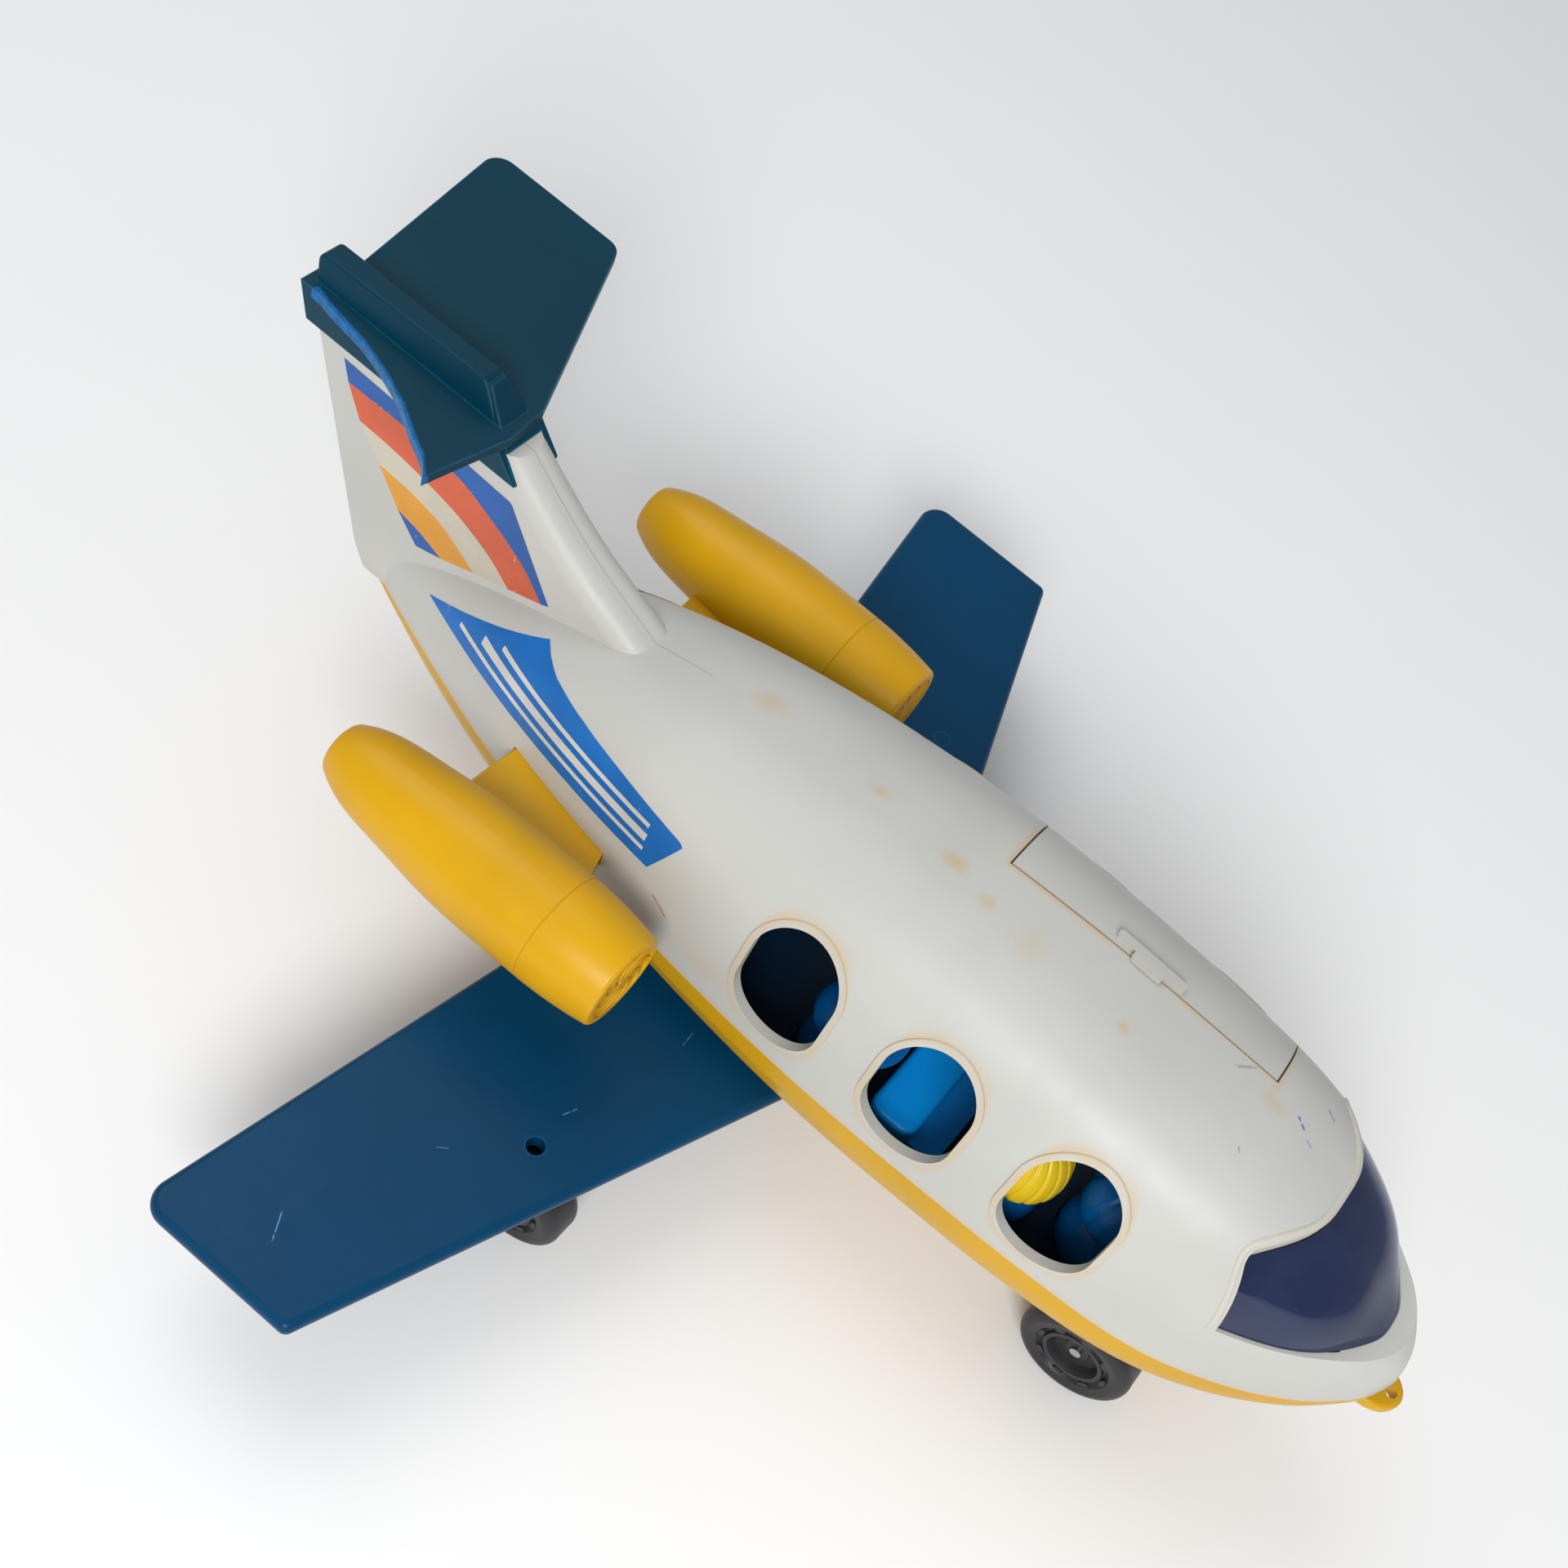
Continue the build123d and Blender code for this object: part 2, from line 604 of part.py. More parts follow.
with BuildPart() as tail_rib:
    with BuildSketch(Plane.XZ) as rib_side:
        with BuildLine():
            Polyline(
                (-169.0, TAILPLANE_BOTTOM_Z),
                (-171.2, RIB_TOP_Z - 1.0),
                (-122.6, RIB_TOP_Z),
                (-113.0, 127.0),
                (-118.0, 126.0),
                close=True,
            )
        make_face()
        fillet(rib_side.vertices().filter_by_position(Axis.Y, 137, 140), 2.0)
    extrude(amount=6, both=True)
    with BuildSketch(Plane(origin=(-180, 0, TAILPLANE_TOP_Z), x_dir=(0, 1, 0), z_dir=(1, 0, 0))):
        with BuildLine():
            Polyline((4.6, -8), (4.6, 0), (2.4, 9), (-2.4, 9), (-4.6, 0), (-4.6, -8), close=True)
        make_face()
    extrude(amount=80, mode=Mode.INTERSECT)
    crest = tail_rib.edges().filter_by_position(Axis.Z, RIB_TOP_Z - 1.5, RIB_TOP_Z)
    fillet(crest.sort_by(SortBy.LENGTH)[-2:], 0.9)

with BuildPart() as tailplane:
    with BuildSketch(Plane.XY.offset(TAILPLANE_BOTTOM_Z)) as tail_outline:
        with BuildLine():
            Polyline((-166.2, -1), (-175.05, 60.7), (-136.2, 60.7), (-113.0, 7), (-112.0, -5))
            Line((-112.0, -5), (-116.2, -28.2))
            Spline(FRACTURE)
            Line(FRACTURE[-1], (-166.2, -1))
        make_face()
        tips = tail_outline.vertices().filter_by_position(Axis.Y, 60, 61)
        fillet(tips, 4.5)
    extrude(amount=TAILPLANE_TOP_Z - TAILPLANE_BOTTOM_Z)

with BuildPart() as tail_cap:
    add(cap_skirt.part)
    add(tailplane.part)
    add(tail_rib.part)
    add(cap_prow.part)
    add(fin.part, mode=Mode.SUBTRACT)
save(tail_cap.part, "tail_cap")

# ---------------------------------------------------------------- engine pods
pod_plane = Plane(origin=(0, POD_Y, POD_Z), x_dir=(1, 0, 0), z_dir=(0, -1, 0))
pod_axis = Axis((0, POD_Y, POD_Z), (1, 0, 0))
with BuildPart() as engine_pod_left:
    with BuildSketch(pod_plane):
        with BuildLine():
            side_line = Spline(POD_PROFILE)
            Polyline(side_line @ 1, (POD_SEAM_X, 0), (POD_REAR_X, 0), (POD_REAR_X, 5.0))
            ThreePointArc((POD_REAR_X, 5.0), (-104.6, 6.2), side_line @ 0)
        make_face()
    revolve(axis=pod_axis)
    seam = engine_pod_left.faces().filter_by(Axis.X).sort_by(Axis.X)[-1]
    chamfer(seam.edges(), 0.3)
    add(pylon_plate(0))
    with BuildSketch(pod_plane):
        with BuildLine():
            inner_line = Spline([(x, r - POD_WALL) for x, r in POD_PROFILE[1:]])
            Polyline(inner_line @ 1, (POD_SEAM_X + 0.1, 11.9), (POD_SEAM_X + 0.1, 0), (-99.4, 0), inner_line @ 0)
        make_face()
    revolve(axis=pod_axis, mode=Mode.SUBTRACT)

with BuildPart() as engine_inlet_left:
    with BuildSketch(pod_plane):
        with BuildLine():
            lip = Spline(INLET_PROFILE)
            ThreePointArc(lip @ 1, (-20.9, 11.9), (POD_FRONT_X, 11.2))
            Polyline((POD_FRONT_X, 11.2), (POD_FRONT_X, 0), (POD_SEAM_X, 0), lip @ 0)
        make_face()
    revolve(axis=pod_axis)
    seam = engine_inlet_left.faces().filter_by(Axis.X).sort_by(Axis.X)[0]
    chamfer(seam.edges(), 0.3)
    with BuildSketch(Plane(origin=(POD_SEAM_X - 5, POD_Y, POD_Z), z_dir=(1, 0, 0))):
        Circle(11.7)
    extrude(amount=6)
    with BuildSketch(Plane(origin=(POD_SEAM_X - 5, POD_Y, POD_Z), z_dir=(1, 0, 0))):
        Circle(9.9)
    extrude(amount=22.4, mode=Mode.SUBTRACT)
    face_plane = Plane(origin=(POD_FRONT_X, POD_Y, POD_Z), x_dir=(0, 1, 0), z_dir=(1, 0, 0))
    with BuildSketch(face_plane):
        Circle(FAN_R)
    extrude(amount=-0.6, mode=Mode.SUBTRACT)
    for blade in range(FAN_BLADES):
        turn = 2 * pi * blade / FAN_BLADES
        tip = turn + 0.9
        middle = turn + 0.2
        with BuildSketch(face_plane.offset(-0.7)):
            with BuildLine() as blade_line:
                ThreePointArc(
                    (1.4 * cos(turn), 1.4 * sin(turn)),
                    (6.0 * cos(middle), 6.0 * sin(middle)),
                    ((FAN_R + 0.2) * cos(tip), (FAN_R + 0.2) * sin(tip)),
                )
            trace(blade_line.line, line_width=0.9)
        extrude(amount=0.5)
    with BuildSketch(face_plane.offset(-0.7)):
        Circle(2.0)
    extrude(amount=0.6)

save(engine_pod_left.part, "engine_pod_left")
save(engine_inlet_left.part, "engine_inlet_left")
save(engine_pod_left.part.mirror(Plane.XZ), "engine_pod_right")
save(engine_inlet_left.part.mirror(Plane.XZ), "engine_inlet_right")

# ---------------------------------------------------------------- wheels and axles


def wheel(x, inner_y, bore_r):
    """Moulded wheel on a Y axle: rounded tread, stepped hub and eight pads on the outer face."""
    plane = Plane(origin=(x, inner_y, WHEEL_R), x_dir=(0, 1, 0), z_dir=(1, 0, 0))
    with BuildPart() as body:
        with BuildSketch(plane):
            with BuildLine():
                Polyline((0.5, bore_r), (0.5, 4.6), (2.4, 5.4), (2.4, 9.4), (0.4, 10.2), (0.0, 12.4))
                ThreePointArc((0.0, 12.4), (0.8, 14.4), (2.9, WHEEL_R))
                ThreePointArc((2.9, WHEEL_R), (WHEEL_WIDTH / 2, WHEEL_R - 0.02), (8.4, WHEEL_R))
                ThreePointArc((8.4, WHEEL_R), (10.5, 14.5), (WHEEL_WIDTH, 12.4))
                Polyline(
                    (WHEEL_WIDTH, 12.4),
                    (10.9, 10.4),
                    (10.1, 9.8),
                    (9.5, 9.2),
                    (9.6, 8.6),
                    (10.6, 8.2),
                    (10.6, 7.2),
                    (9.6, 6.8),
                    (7.6, 6.2),
                    (7.2, 3.6),
                    (8.0, 3.2),
                    (8.0, bore_r),
                    (0.5, bore_r),
                )
            make_face()
        revolve(axis=Axis((x, 0, WHEEL_R), (0, 1, 0)))
        pad_plane = Plane(origin=(x, inner_y + 9.2, WHEEL_R), z_dir=(0, 1, 0))
        with BuildSketch(pad_plane):
            with PolarLocations(9.5, PAD_COUNT):
                Ellipse(0.7, 1.5)
        extrude(amount=1.5)
    return body.part


nose_wheel = wheel(NOSE_WHEEL_X, NOSE_WHEEL_Y, AXLE_R)
save(nose_wheel, "nose_wheel_left")
save(nose_wheel.mirror(Plane.XZ), "nose_wheel_right")
main_wheel = wheel(MAIN_WHEEL_X, MAIN_WHEEL_Y, AXLE_R + AXLE_FIT)
save(main_wheel, "main_wheel_left")
save(main_wheel.mirror(Plane.XZ), "main_wheel_right")

nose_axle_end = NOSE_WHEEL_Y + 9.0
save(cylinder_y(NOSE_WHEEL_X, WHEEL_R, -nose_axle_end, nose_axle_end, AXLE_R), "nose_axle")

with BuildPart() as main_axle_left:
    head_y = MAIN_WHEEL_Y + 8.3
    add(cylinder_y(MAIN_WHEEL_X, WHEEL_R, MAIN_WHEEL_Y - 8.0, head_y + 0.5, AXLE_R))
    add(cylinder_y(MAIN_WHEEL_X, WHEEL_R, head_y, head_y + 1.0, 2.9))
    fillet(main_axle_left.faces().sort_by(Axis.Y)[-1].edges(), 0.6)
save(main_axle_left.part, "main_axle_left")
save(main_axle_left.part.mirror(Plane.XZ), "main_axle_right")

# ---------------------------------------------------------------- seat deck
with BuildPart() as seat_deck:
    with Locations((38, 0, DECK_TOP_Z - DECK_THICKNESS / 2)):
        Box(150, 90, DECK_THICKNESS)
    seats = list(PEG_SEATS.values()) + SPARE_SEATS
    for x, y in seats:
        add(cylinder_z(x, y, SOCKET_FLOOR_Z - 1.4, DECK_TOP_Z, PEG_R + SOCKET_CLEAR + 1.6))
    add(lower_hull_solid(WALL + 0.5, KEEL_CAVITY), mode=Mode.INTERSECT)
    for x, y in seats:
        add(cylinder_z(x, y, SOCKET_FLOOR_Z, DECK_TOP_Z + 1, PEG_R + SOCKET_CLEAR), mode=Mode.SUBTRACT)
    with BuildSketch(Plane.XY.offset(DECK_TOP_Z - 0.5)):
        with Locations((SEAT_BACK_X, 0)):
            RectangleRounded(SEAT_BACK_DEPTH, 2 * SEAT_HALF_WIDTH, 4.0)
    extrude(amount=SEAT_TOP_Z - DECK_TOP_Z + 0.5)
    fillet(seat_deck.faces().sort_by(Axis.Z)[-1].edges(), 1.6)
    with BuildSketch(Plane.XY.offset(DECK_TOP_Z - 0.5)):
        with Locations((SEAT_BACK_X + 9.6, 0)):
            RectangleRounded(9.0, 2 * SEAT_HALF_WIDTH - 6, 2.5)
    extrude(amount=6.5)
    with BuildSketch(Plane.XY.offset(DECK_TOP_Z - DECK_THICKNESS)):
        with Locations((SEAT_BACK_X, 0)):
            RectangleRounded(SEAT_BACK_DEPTH - 4, 2 * SEAT_HALF_WIDTH - 4, 2.5)
    extrude(amount=SEAT_TOP_Z - DECK_TOP_Z, mode=Mode.SUBTRACT)
save(seat_deck.part, "seat_deck")

# ---------------------------------------------------------------- peg passengers
for who, (x, y) in PEG_SEATS.items():
    neck_z = SOCKET_FLOOR_Z + PEG_BODY_HEIGHT
    head_z = neck_z + HEAD_R - 1.6
    peg_plane = Plane(origin=(x, y, 0), x_dir=(1, 0, 0), z_dir=(0, -1, 0))
    peg_axis = Axis((x, y, 0), (0, 0, 1))
    with BuildPart() as peg_body:
        with BuildSketch(peg_plane):
            with BuildLine():
                Polyline((0, neck_z), (0, SOCKET_FLOOR_Z), (PEG_R - 0.8, SOCKET_FLOOR_Z))
                Polyline((PEG_R - 0.8, SOCKET_FLOOR_Z), (PEG_R, SOCKET_FLOOR_Z + 0.8), (PEG_R, DECK_TOP_Z))
                Spline([(PEG_R, DECK_TOP_Z), (PEG_R - 0.6, neck_z - 4), (PEG_R - 3.6, neck_z)])
                Line((PEG_R - 3.6, neck_z), (0, neck_z))
            make_face()
        revolve(axis=peg_axis)
    save(peg_body.part, f"{who}_body")
    with BuildPart() as peg_head:
        with BuildSketch(peg_plane):
            with Locations((0, head_z)):
                Circle(HEAD_R)
            with Locations((-HEAD_R, head_z)):
                Rectangle(2 * HEAD_R, 3 * HEAD_R, mode=Mode.SUBTRACT)
            with Locations((0, neck_z - HEAD_R)):
                Rectangle(3 * HEAD_R, 2 * HEAD_R, mode=Mode.SUBTRACT)
        revolve(axis=peg_axis)
    save(peg_head.part, f"{who}_head")
    hair_r = HEAD_R + HAIR_THICKNESS[who]
    with BuildPart() as peg_hair:
        with BuildSketch(peg_plane):
            with Locations((0, head_z)):
                Circle(hair_r)
                Circle(HEAD_R, mode=Mode.SUBTRACT)
            with Locations((-hair_r, head_z)):
                Rectangle(2 * hair_r, 3 * hair_r, mode=Mode.SUBTRACT)
            with Locations((0, head_z + 0.6 - hair_r)):
                Rectangle(3 * hair_r, 2 * hair_r, mode=Mode.SUBTRACT)
        revolve(axis=peg_axis)
        if who == "boy":
            with BuildSketch(Plane.XY.offset(head_z + 0.6)):
                with Locations((x + 3.0, y)):
                    Circle(hair_r)
                with Locations((x, y)):
                    Circle(HEAD_R + 0.05, mode=Mode.SUBTRACT)
            extrude(amount=1.4)
    save(peg_hair.part, f"{who}_hair")
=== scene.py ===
import bpy
import bmesh
import math
from mathutils import Matrix, Vector
from mathutils.bvhtree import BVHTree


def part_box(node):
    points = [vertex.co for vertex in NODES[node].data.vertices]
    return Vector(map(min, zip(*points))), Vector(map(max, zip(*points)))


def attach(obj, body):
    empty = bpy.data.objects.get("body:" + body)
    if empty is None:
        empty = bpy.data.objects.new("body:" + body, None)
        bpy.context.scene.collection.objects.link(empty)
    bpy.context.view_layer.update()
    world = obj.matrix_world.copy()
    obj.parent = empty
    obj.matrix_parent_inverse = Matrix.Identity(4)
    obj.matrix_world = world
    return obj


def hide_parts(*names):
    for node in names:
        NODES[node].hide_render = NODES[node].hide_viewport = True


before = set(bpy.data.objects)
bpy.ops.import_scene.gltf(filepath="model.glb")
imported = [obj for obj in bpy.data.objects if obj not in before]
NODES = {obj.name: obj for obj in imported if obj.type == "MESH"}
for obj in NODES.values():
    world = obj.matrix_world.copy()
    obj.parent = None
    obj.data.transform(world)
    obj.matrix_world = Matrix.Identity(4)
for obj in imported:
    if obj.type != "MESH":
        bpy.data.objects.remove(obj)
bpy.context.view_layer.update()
MM = 0.001

# ------------------------------------------------------------------ camera
CAMERA_AT = (0.0552, -0.2694, 0.4584)
CAMERA_RIGHT = Vector((0.7656, 0.5748, 0.2894))
CAMERA_UP = Vector((-0.6325, 0.5892, 0.503))
CAMERA_FORWARD = Vector((-0.1186, 0.568, -0.8144))

camera_data = bpy.data.cameras.new("camera")
camera_data.lens = 46.4
camera_data.sensor_width = 36
camera_data.shift_x = -0.0344
camera_data.shift_y = 0.0662
camera_data.clip_start = 0.01
camera = bpy.data.objects.new("camera", camera_data)
bpy.context.scene.collection.objects.link(camera)
turn = Matrix((CAMERA_RIGHT, CAMERA_UP, -CAMERA_FORWARD)).transposed().to_4x4()
camera.matrix_world = Matrix.Translation(CAMERA_AT) @ turn
bpy.context.scene.camera = camera
bpy.context.scene.view_settings.view_transform = "Standard"


# ------------------------------------------------------------------ materials
class Shader:
    """A node tree under construction. Positions are the object's own, in millimetres."""

    def __init__(self, name):
        self.mat = bpy.data.materials.new(name)
        self.mat.use_nodes = True
        self.tree = self.mat.node_tree
        self.bsdf = self.tree.nodes["Principled BSDF"]
        coords = self.tree.nodes.new("ShaderNodeTexCoord")
        scale = self.tree.nodes.new("ShaderNodeVectorMath")
        scale.operation = "SCALE"
        scale.inputs["Scale"].default_value = 1000.0
        self.tree.links.new(coords.outputs["Object"], scale.inputs[0])
        self.pos = scale.outputs[0]
        self.split = None

    def feed(self, value, socket):
        if isinstance(value, bpy.types.NodeSocket):
            self.tree.links.new(value, socket)
        else:
            socket.default_value = value

    def math(self, op, a, b=0.0, c=0.0, clamp=False):
        node = self.tree.nodes.new("ShaderNodeMath")
        node.operation = op
        node.use_clamp = clamp
        for value, socket in zip((a, b, c), node.inputs):
            self.feed(value, socket)
        return node.outputs[0]

    def axis(self, letter):
        if self.split is None:
            node = self.tree.nodes.new("ShaderNodeSeparateXYZ")
            self.tree.links.new(self.pos, node.inputs[0])
            self.split = node
        return self.split.outputs["XYZ".index(letter)]

    def stretched(self, scale):
        node = self.tree.nodes.new("ShaderNodeVectorMath")
        node.operation = "MULTIPLY"
        node.inputs[1].default_value = scale
        self.tree.links.new(self.pos, node.inputs[0])
        return node.outputs[0]

    def noise(self, scale, detail=3.0, rough=0.55, vector=None):
        node = self.tree.nodes.new("ShaderNodeTexNoise")
        node.inputs["Scale"].default_value = scale
        node.inputs["Detail"].default_value = detail
        node.inputs["Roughness"].default_value = rough
        self.tree.links.new(vector or self.pos, node.inputs["Vector"])
        return node.outputs["Fac"]

    def ramp(self, value, low, high, to_low=0.0, to_high=1.0):
        node = self.tree.nodes.new("ShaderNodeMapRange")
        node.interpolation_type = "SMOOTHSTEP"
        self.feed(value, node.inputs["Value"])
        limits = {"From Min": low, "From Max": high, "To Min": to_low, "To Max": to_high}
        for name, number in limits.items():
            node.inputs[name].default_value = number
        return node.outputs["Result"]

    def mix(self, factor, a, b, blend="MIX"):
        node = self.tree.nodes.new("ShaderNodeMix")
        node.data_type = "RGBA"
        node.blend_type = blend
        self.feed(factor, node.inputs[0])
        for value, index in ((a, 6), (b, 7)):
            if isinstance(value, tuple):
                value = (*value[:3], 1.0)
            self.feed(value, node.inputs[index])
        return node.outputs[2]

    def spot(self, centre, radii, softness=0.5, wobble=0.35, noise_scale=0.35):
        """1 inside an ellipsoid about centre, 0 outside, with a ragged soft edge."""
        shift = self.tree.nodes.new("ShaderNodeVectorMath")
        shift.operation = "SUBTRACT"
        shift.inputs[1].default_value = centre
        self.tree.links.new(self.pos, shift.inputs[0])
        shrink = self.tree.nodes.new("ShaderNodeVectorMath")
        shrink.operation = "DIVIDE"
        shrink.inputs[1].default_value = radii
        self.tree.links.new(shift.outputs[0], shrink.inputs[0])
        length = self.tree.nodes.new("ShaderNodeVectorMath")
        length.operation = "LENGTH"
        self.tree.links.new(shrink.outputs[0], length.inputs[0])
        ragged = self.math("MULTIPLY_ADD", self.noise(noise_scale, 4.0), wobble * 2, length.outputs["Value"])
        ragged = self.math("SUBTRACT", ragged, wobble)
        return self.ramp(ragged, 1.0 - softness, 1.0, 1.0, 0.0)

    def line_distance(self, start, end):
        """Distance from a line, distance along it from its middle, and half its length."""
        a, b = Vector(start), Vector(end)
        relative = self.tree.nodes.new("ShaderNodeVectorMath")
        relative.operation = "SUBTRACT"
        relative.inputs[1].default_value = tuple((a + b) / 2)
        self.tree.links.new(self.pos, relative.inputs[0])
        dot = self.tree.nodes.new("ShaderNodeVectorMath")
        dot.operation = "DOT_PRODUCT"
        dot.inputs[1].default_value = tuple((b - a).normalized())
        self.tree.links.new(relative.outputs[0], dot.inputs[0])
        size = self.tree.nodes.new("ShaderNodeVectorMath")
        size.operation = "LENGTH"
        self.tree.links.new(relative.outputs[0], size.inputs[0])
        reach = dot.outputs["Value"]
        far = size.outputs["Value"]
        square = self.math("SUBTRACT", self.math("MULTIPLY", far, far), self.math("MULTIPLY", reach, reach))
        across = self.math("SQRT", self.math("MAXIMUM", square, 0.0))
        return across, self.math("ABSOLUTE", reach), (b - a).length / 2

    def streak(self, start, end, width, softness=0.6):
        """1 along the line from start to end, 0 beyond width from it."""
        across, reach, half = self.line_distance(start, end)
        thick = self.ramp(across, width * (1 - softness), width, 1.0, 0.0)
        ends = self.ramp(reach, half * 0.7, half, 1.0, 0.0)
        broken = self.ramp(self.noise(0.8, 3.0), 0.35, 0.5)
        return self.math("MULTIPLY", self.math("MULTIPLY", thick, ends), broken)

    def edge(self, radius=1.0):
        """1 on a sharp or tightly rounded edge, 0 on a flat or gently curved face."""
        bevel = self.tree.nodes.new("ShaderNodeBevel")
        bevel.samples = 6
        bevel.inputs["Radius"].default_value = radius * MM
        geometry = self.tree.nodes.new("ShaderNodeNewGeometry")
        dot = self.tree.nodes.new("ShaderNodeVectorMath")
        dot.operation = "DOT_PRODUCT"
        self.tree.links.new(bevel.outputs[0], dot.inputs[0])
        self.tree.links.new(geometry.outputs["Normal"], dot.inputs[1])
        return self.ramp(dot.outputs["Value"], 0.86, 0.99, 1.0, 0.0)

    def finish(self, colour, roughness, bump=None, strength=0.1, distance=0.1):
        self.feed(colour, self.bsdf.inputs["Base Color"])
        self.feed(roughness, self.bsdf.inputs["Roughness"])
        if bump is not None:
            node = self.tree.nodes.new("ShaderNodeBump")
            node.inputs["Strength"].default_value = strength
            node.inputs["Distance"].default_value = distance * MM
            self.feed(bump, node.inputs["Height"])
            self.tree.links.new(node.outputs[0], self.bsdf.inputs["Normal"])
        return self.mat


def plastic(
    name,
    base,
    roughness=0.38,
    edge_wear_and_highlight_tint=None,
    edge_wear_and_highlight_amount=0.0,
    marks=(),
    variation=0.06,
    scuff=0.35,
    gloss=0.32,
):
    """Moulded plastic: faint mottling, fine peel, handling scratches, and tinted edges: wear, plus a painted
    highlight wherever the edge tint is lighter than the base.
    """
    s = Shader(name)
    s.bsdf.inputs["Specular IOR Level"].default_value = gloss
    broad = s.noise(0.02, 3.0)
    dark = tuple(c * (1 - variation) for c in base)
    light = tuple(min(1.0, c * (1 + variation)) for c in base)
    colour = s.mix(s.ramp(broad, 0.35, 0.65), dark, light)
    specks = s.ramp(s.noise(0.9, 6.0, 0.7), 0.66, 0.76)
    colour = s.mix(s.math("MULTIPLY", specks, 0.12), colour, tuple(c * 0.6 for c in base))
    # Edge tint on a bevel mask: wear on the white parts; on the blue, yellow and dark parts the lighter tint
    # is also a painted highlight along rounded edges.
    if edge_wear_and_highlight_tint:
        worn = s.math("MULTIPLY", s.edge(0.9), s.ramp(s.noise(0.12, 4.0), 0.3, 0.6, 0.45, 1.0))
        colour = s.mix(s.math("MULTIPLY", worn, edge_wear_and_highlight_amount), colour, edge_wear_and_highlight_tint)
    for mask, tint, amount in [mark(s) for mark in marks]:
        colour = s.mix(s.math("MULTIPLY", mask, amount), colour, tint)
    lines_a = s.ramp(s.noise(1.0, 4.0, 0.6, s.stretched((0.05, 1.6, 1.0))), 0.62, 0.68)
    lines_b = s.ramp(s.noise(1.0, 4.0, 0.6, s.stretched((1.3, 0.08, 0.9))), 0.64, 0.70)
    scratches = s.math("MAXIMUM", lines_a, lines_b)
    rough = s.math("MULTIPLY_ADD", s.noise(0.15, 5.0), 0.16, roughness - 0.08)
    rough = s.math("MULTIPLY_ADD", scratches, scuff * 0.3, rough, clamp=True)
    peel = s.math("MULTIPLY_ADD", scratches, -0.25, s.noise(1.4, 3.0, 0.6))
    return s.finish(colour, rough, peel, 0.12, 0.08)


def coat(node_name, material):
    mesh = NODES[node_name].data
    if not mesh.materials:
        mesh.materials.append(material)
    for index in range(len(mesh.materials)):
        mesh.materials[index] = material
    for slot in NODES[node_name].material_slots:
        slot.material = material


# ------------------------------------------------------------------ wear on the white shell, and painted shade on the cabin floor
WINDOWS = [(8.0, 81.2), (46.4, 81.2), (84.9, 81.2)]
WINDOW_HALF = (11.85, 17.0)
DOOR_REAR_X = 27.9  # the shell's edge round the door, mm
DOOR_FRONT_X = 103.2
DOOR_MIDDLE_X = 65.5
SEAM_Z = (57.6, 60.5)  # grime fades out between these heights
FIN_EDGE_X = (-52.0, -48.0)  # the fin's mould line fades out between these
YELLOWED = (0.60, 0.42, 0.19)
STAIN = (0.56, 0.41, 0.19)
INK = (0.02, 0.12, 0.42)


def window_rims(s):
    """Yellowing on and just outside each window rim."""
    total = None
    for x, z in WINDOWS:
        dx = s.math("MULTIPLY", s.math("SUBTRACT", s.axis("X"), x), 1 / WINDOW_HALF[0])
        dz = s.math("MULTIPLY", s.math("SUBTRACT", s.axis("Z"), z), 1 / WINDOW_HALF[1])
        cube_x = s.math("POWER", s.math("ABSOLUTE", dx), 3.0)
        cube_z = s.math("POWER", s.math("ABSOLUTE", dz), 3.0)
        radius = s.math("POWER", s.math("ADD", cube_x, cube_z), 1 / 3)
        ring = s.math("MULTIPLY", s.ramp(radius, 0.98, 1.03), s.ramp(radius, 1.07, 1.22, 1.0, 0.0))
        total = ring if total is None else s.math("MAXIMUM", total, ring)
    total = s.math("MULTIPLY", total, s.ramp(s.noise(0.09, 4.0), 0.3, 0.62, 0.35, 1.0))
    return total, YELLOWED, 0.45


def split_line(s):
    """Grime along the seam between the white and the yellow shell."""
    low = s.ramp(s.axis("Z"), *SEAM_Z, 1.0, 0.0)
    patchy = s.ramp(s.noise(0.07, 4.0), 0.35, 0.6, 0.3, 1.0)
    return s.math("MULTIPLY", low, patchy), YELLOWED, 0.4


def fin_mould_line(s):
    """The fine line up the middle of the fin's leading edge."""
    thin = s.ramp(s.math("ABSOLUTE", s.axis("Y")), 0.1, 0.22, 1.0, 0.0)
    return s.math("MULTIPLY", thin, s.ramp(s.axis("X"), *FIN_EDGE_X, 1.0, 0.0)), (0.35, 0.32, 0.26), 0.6


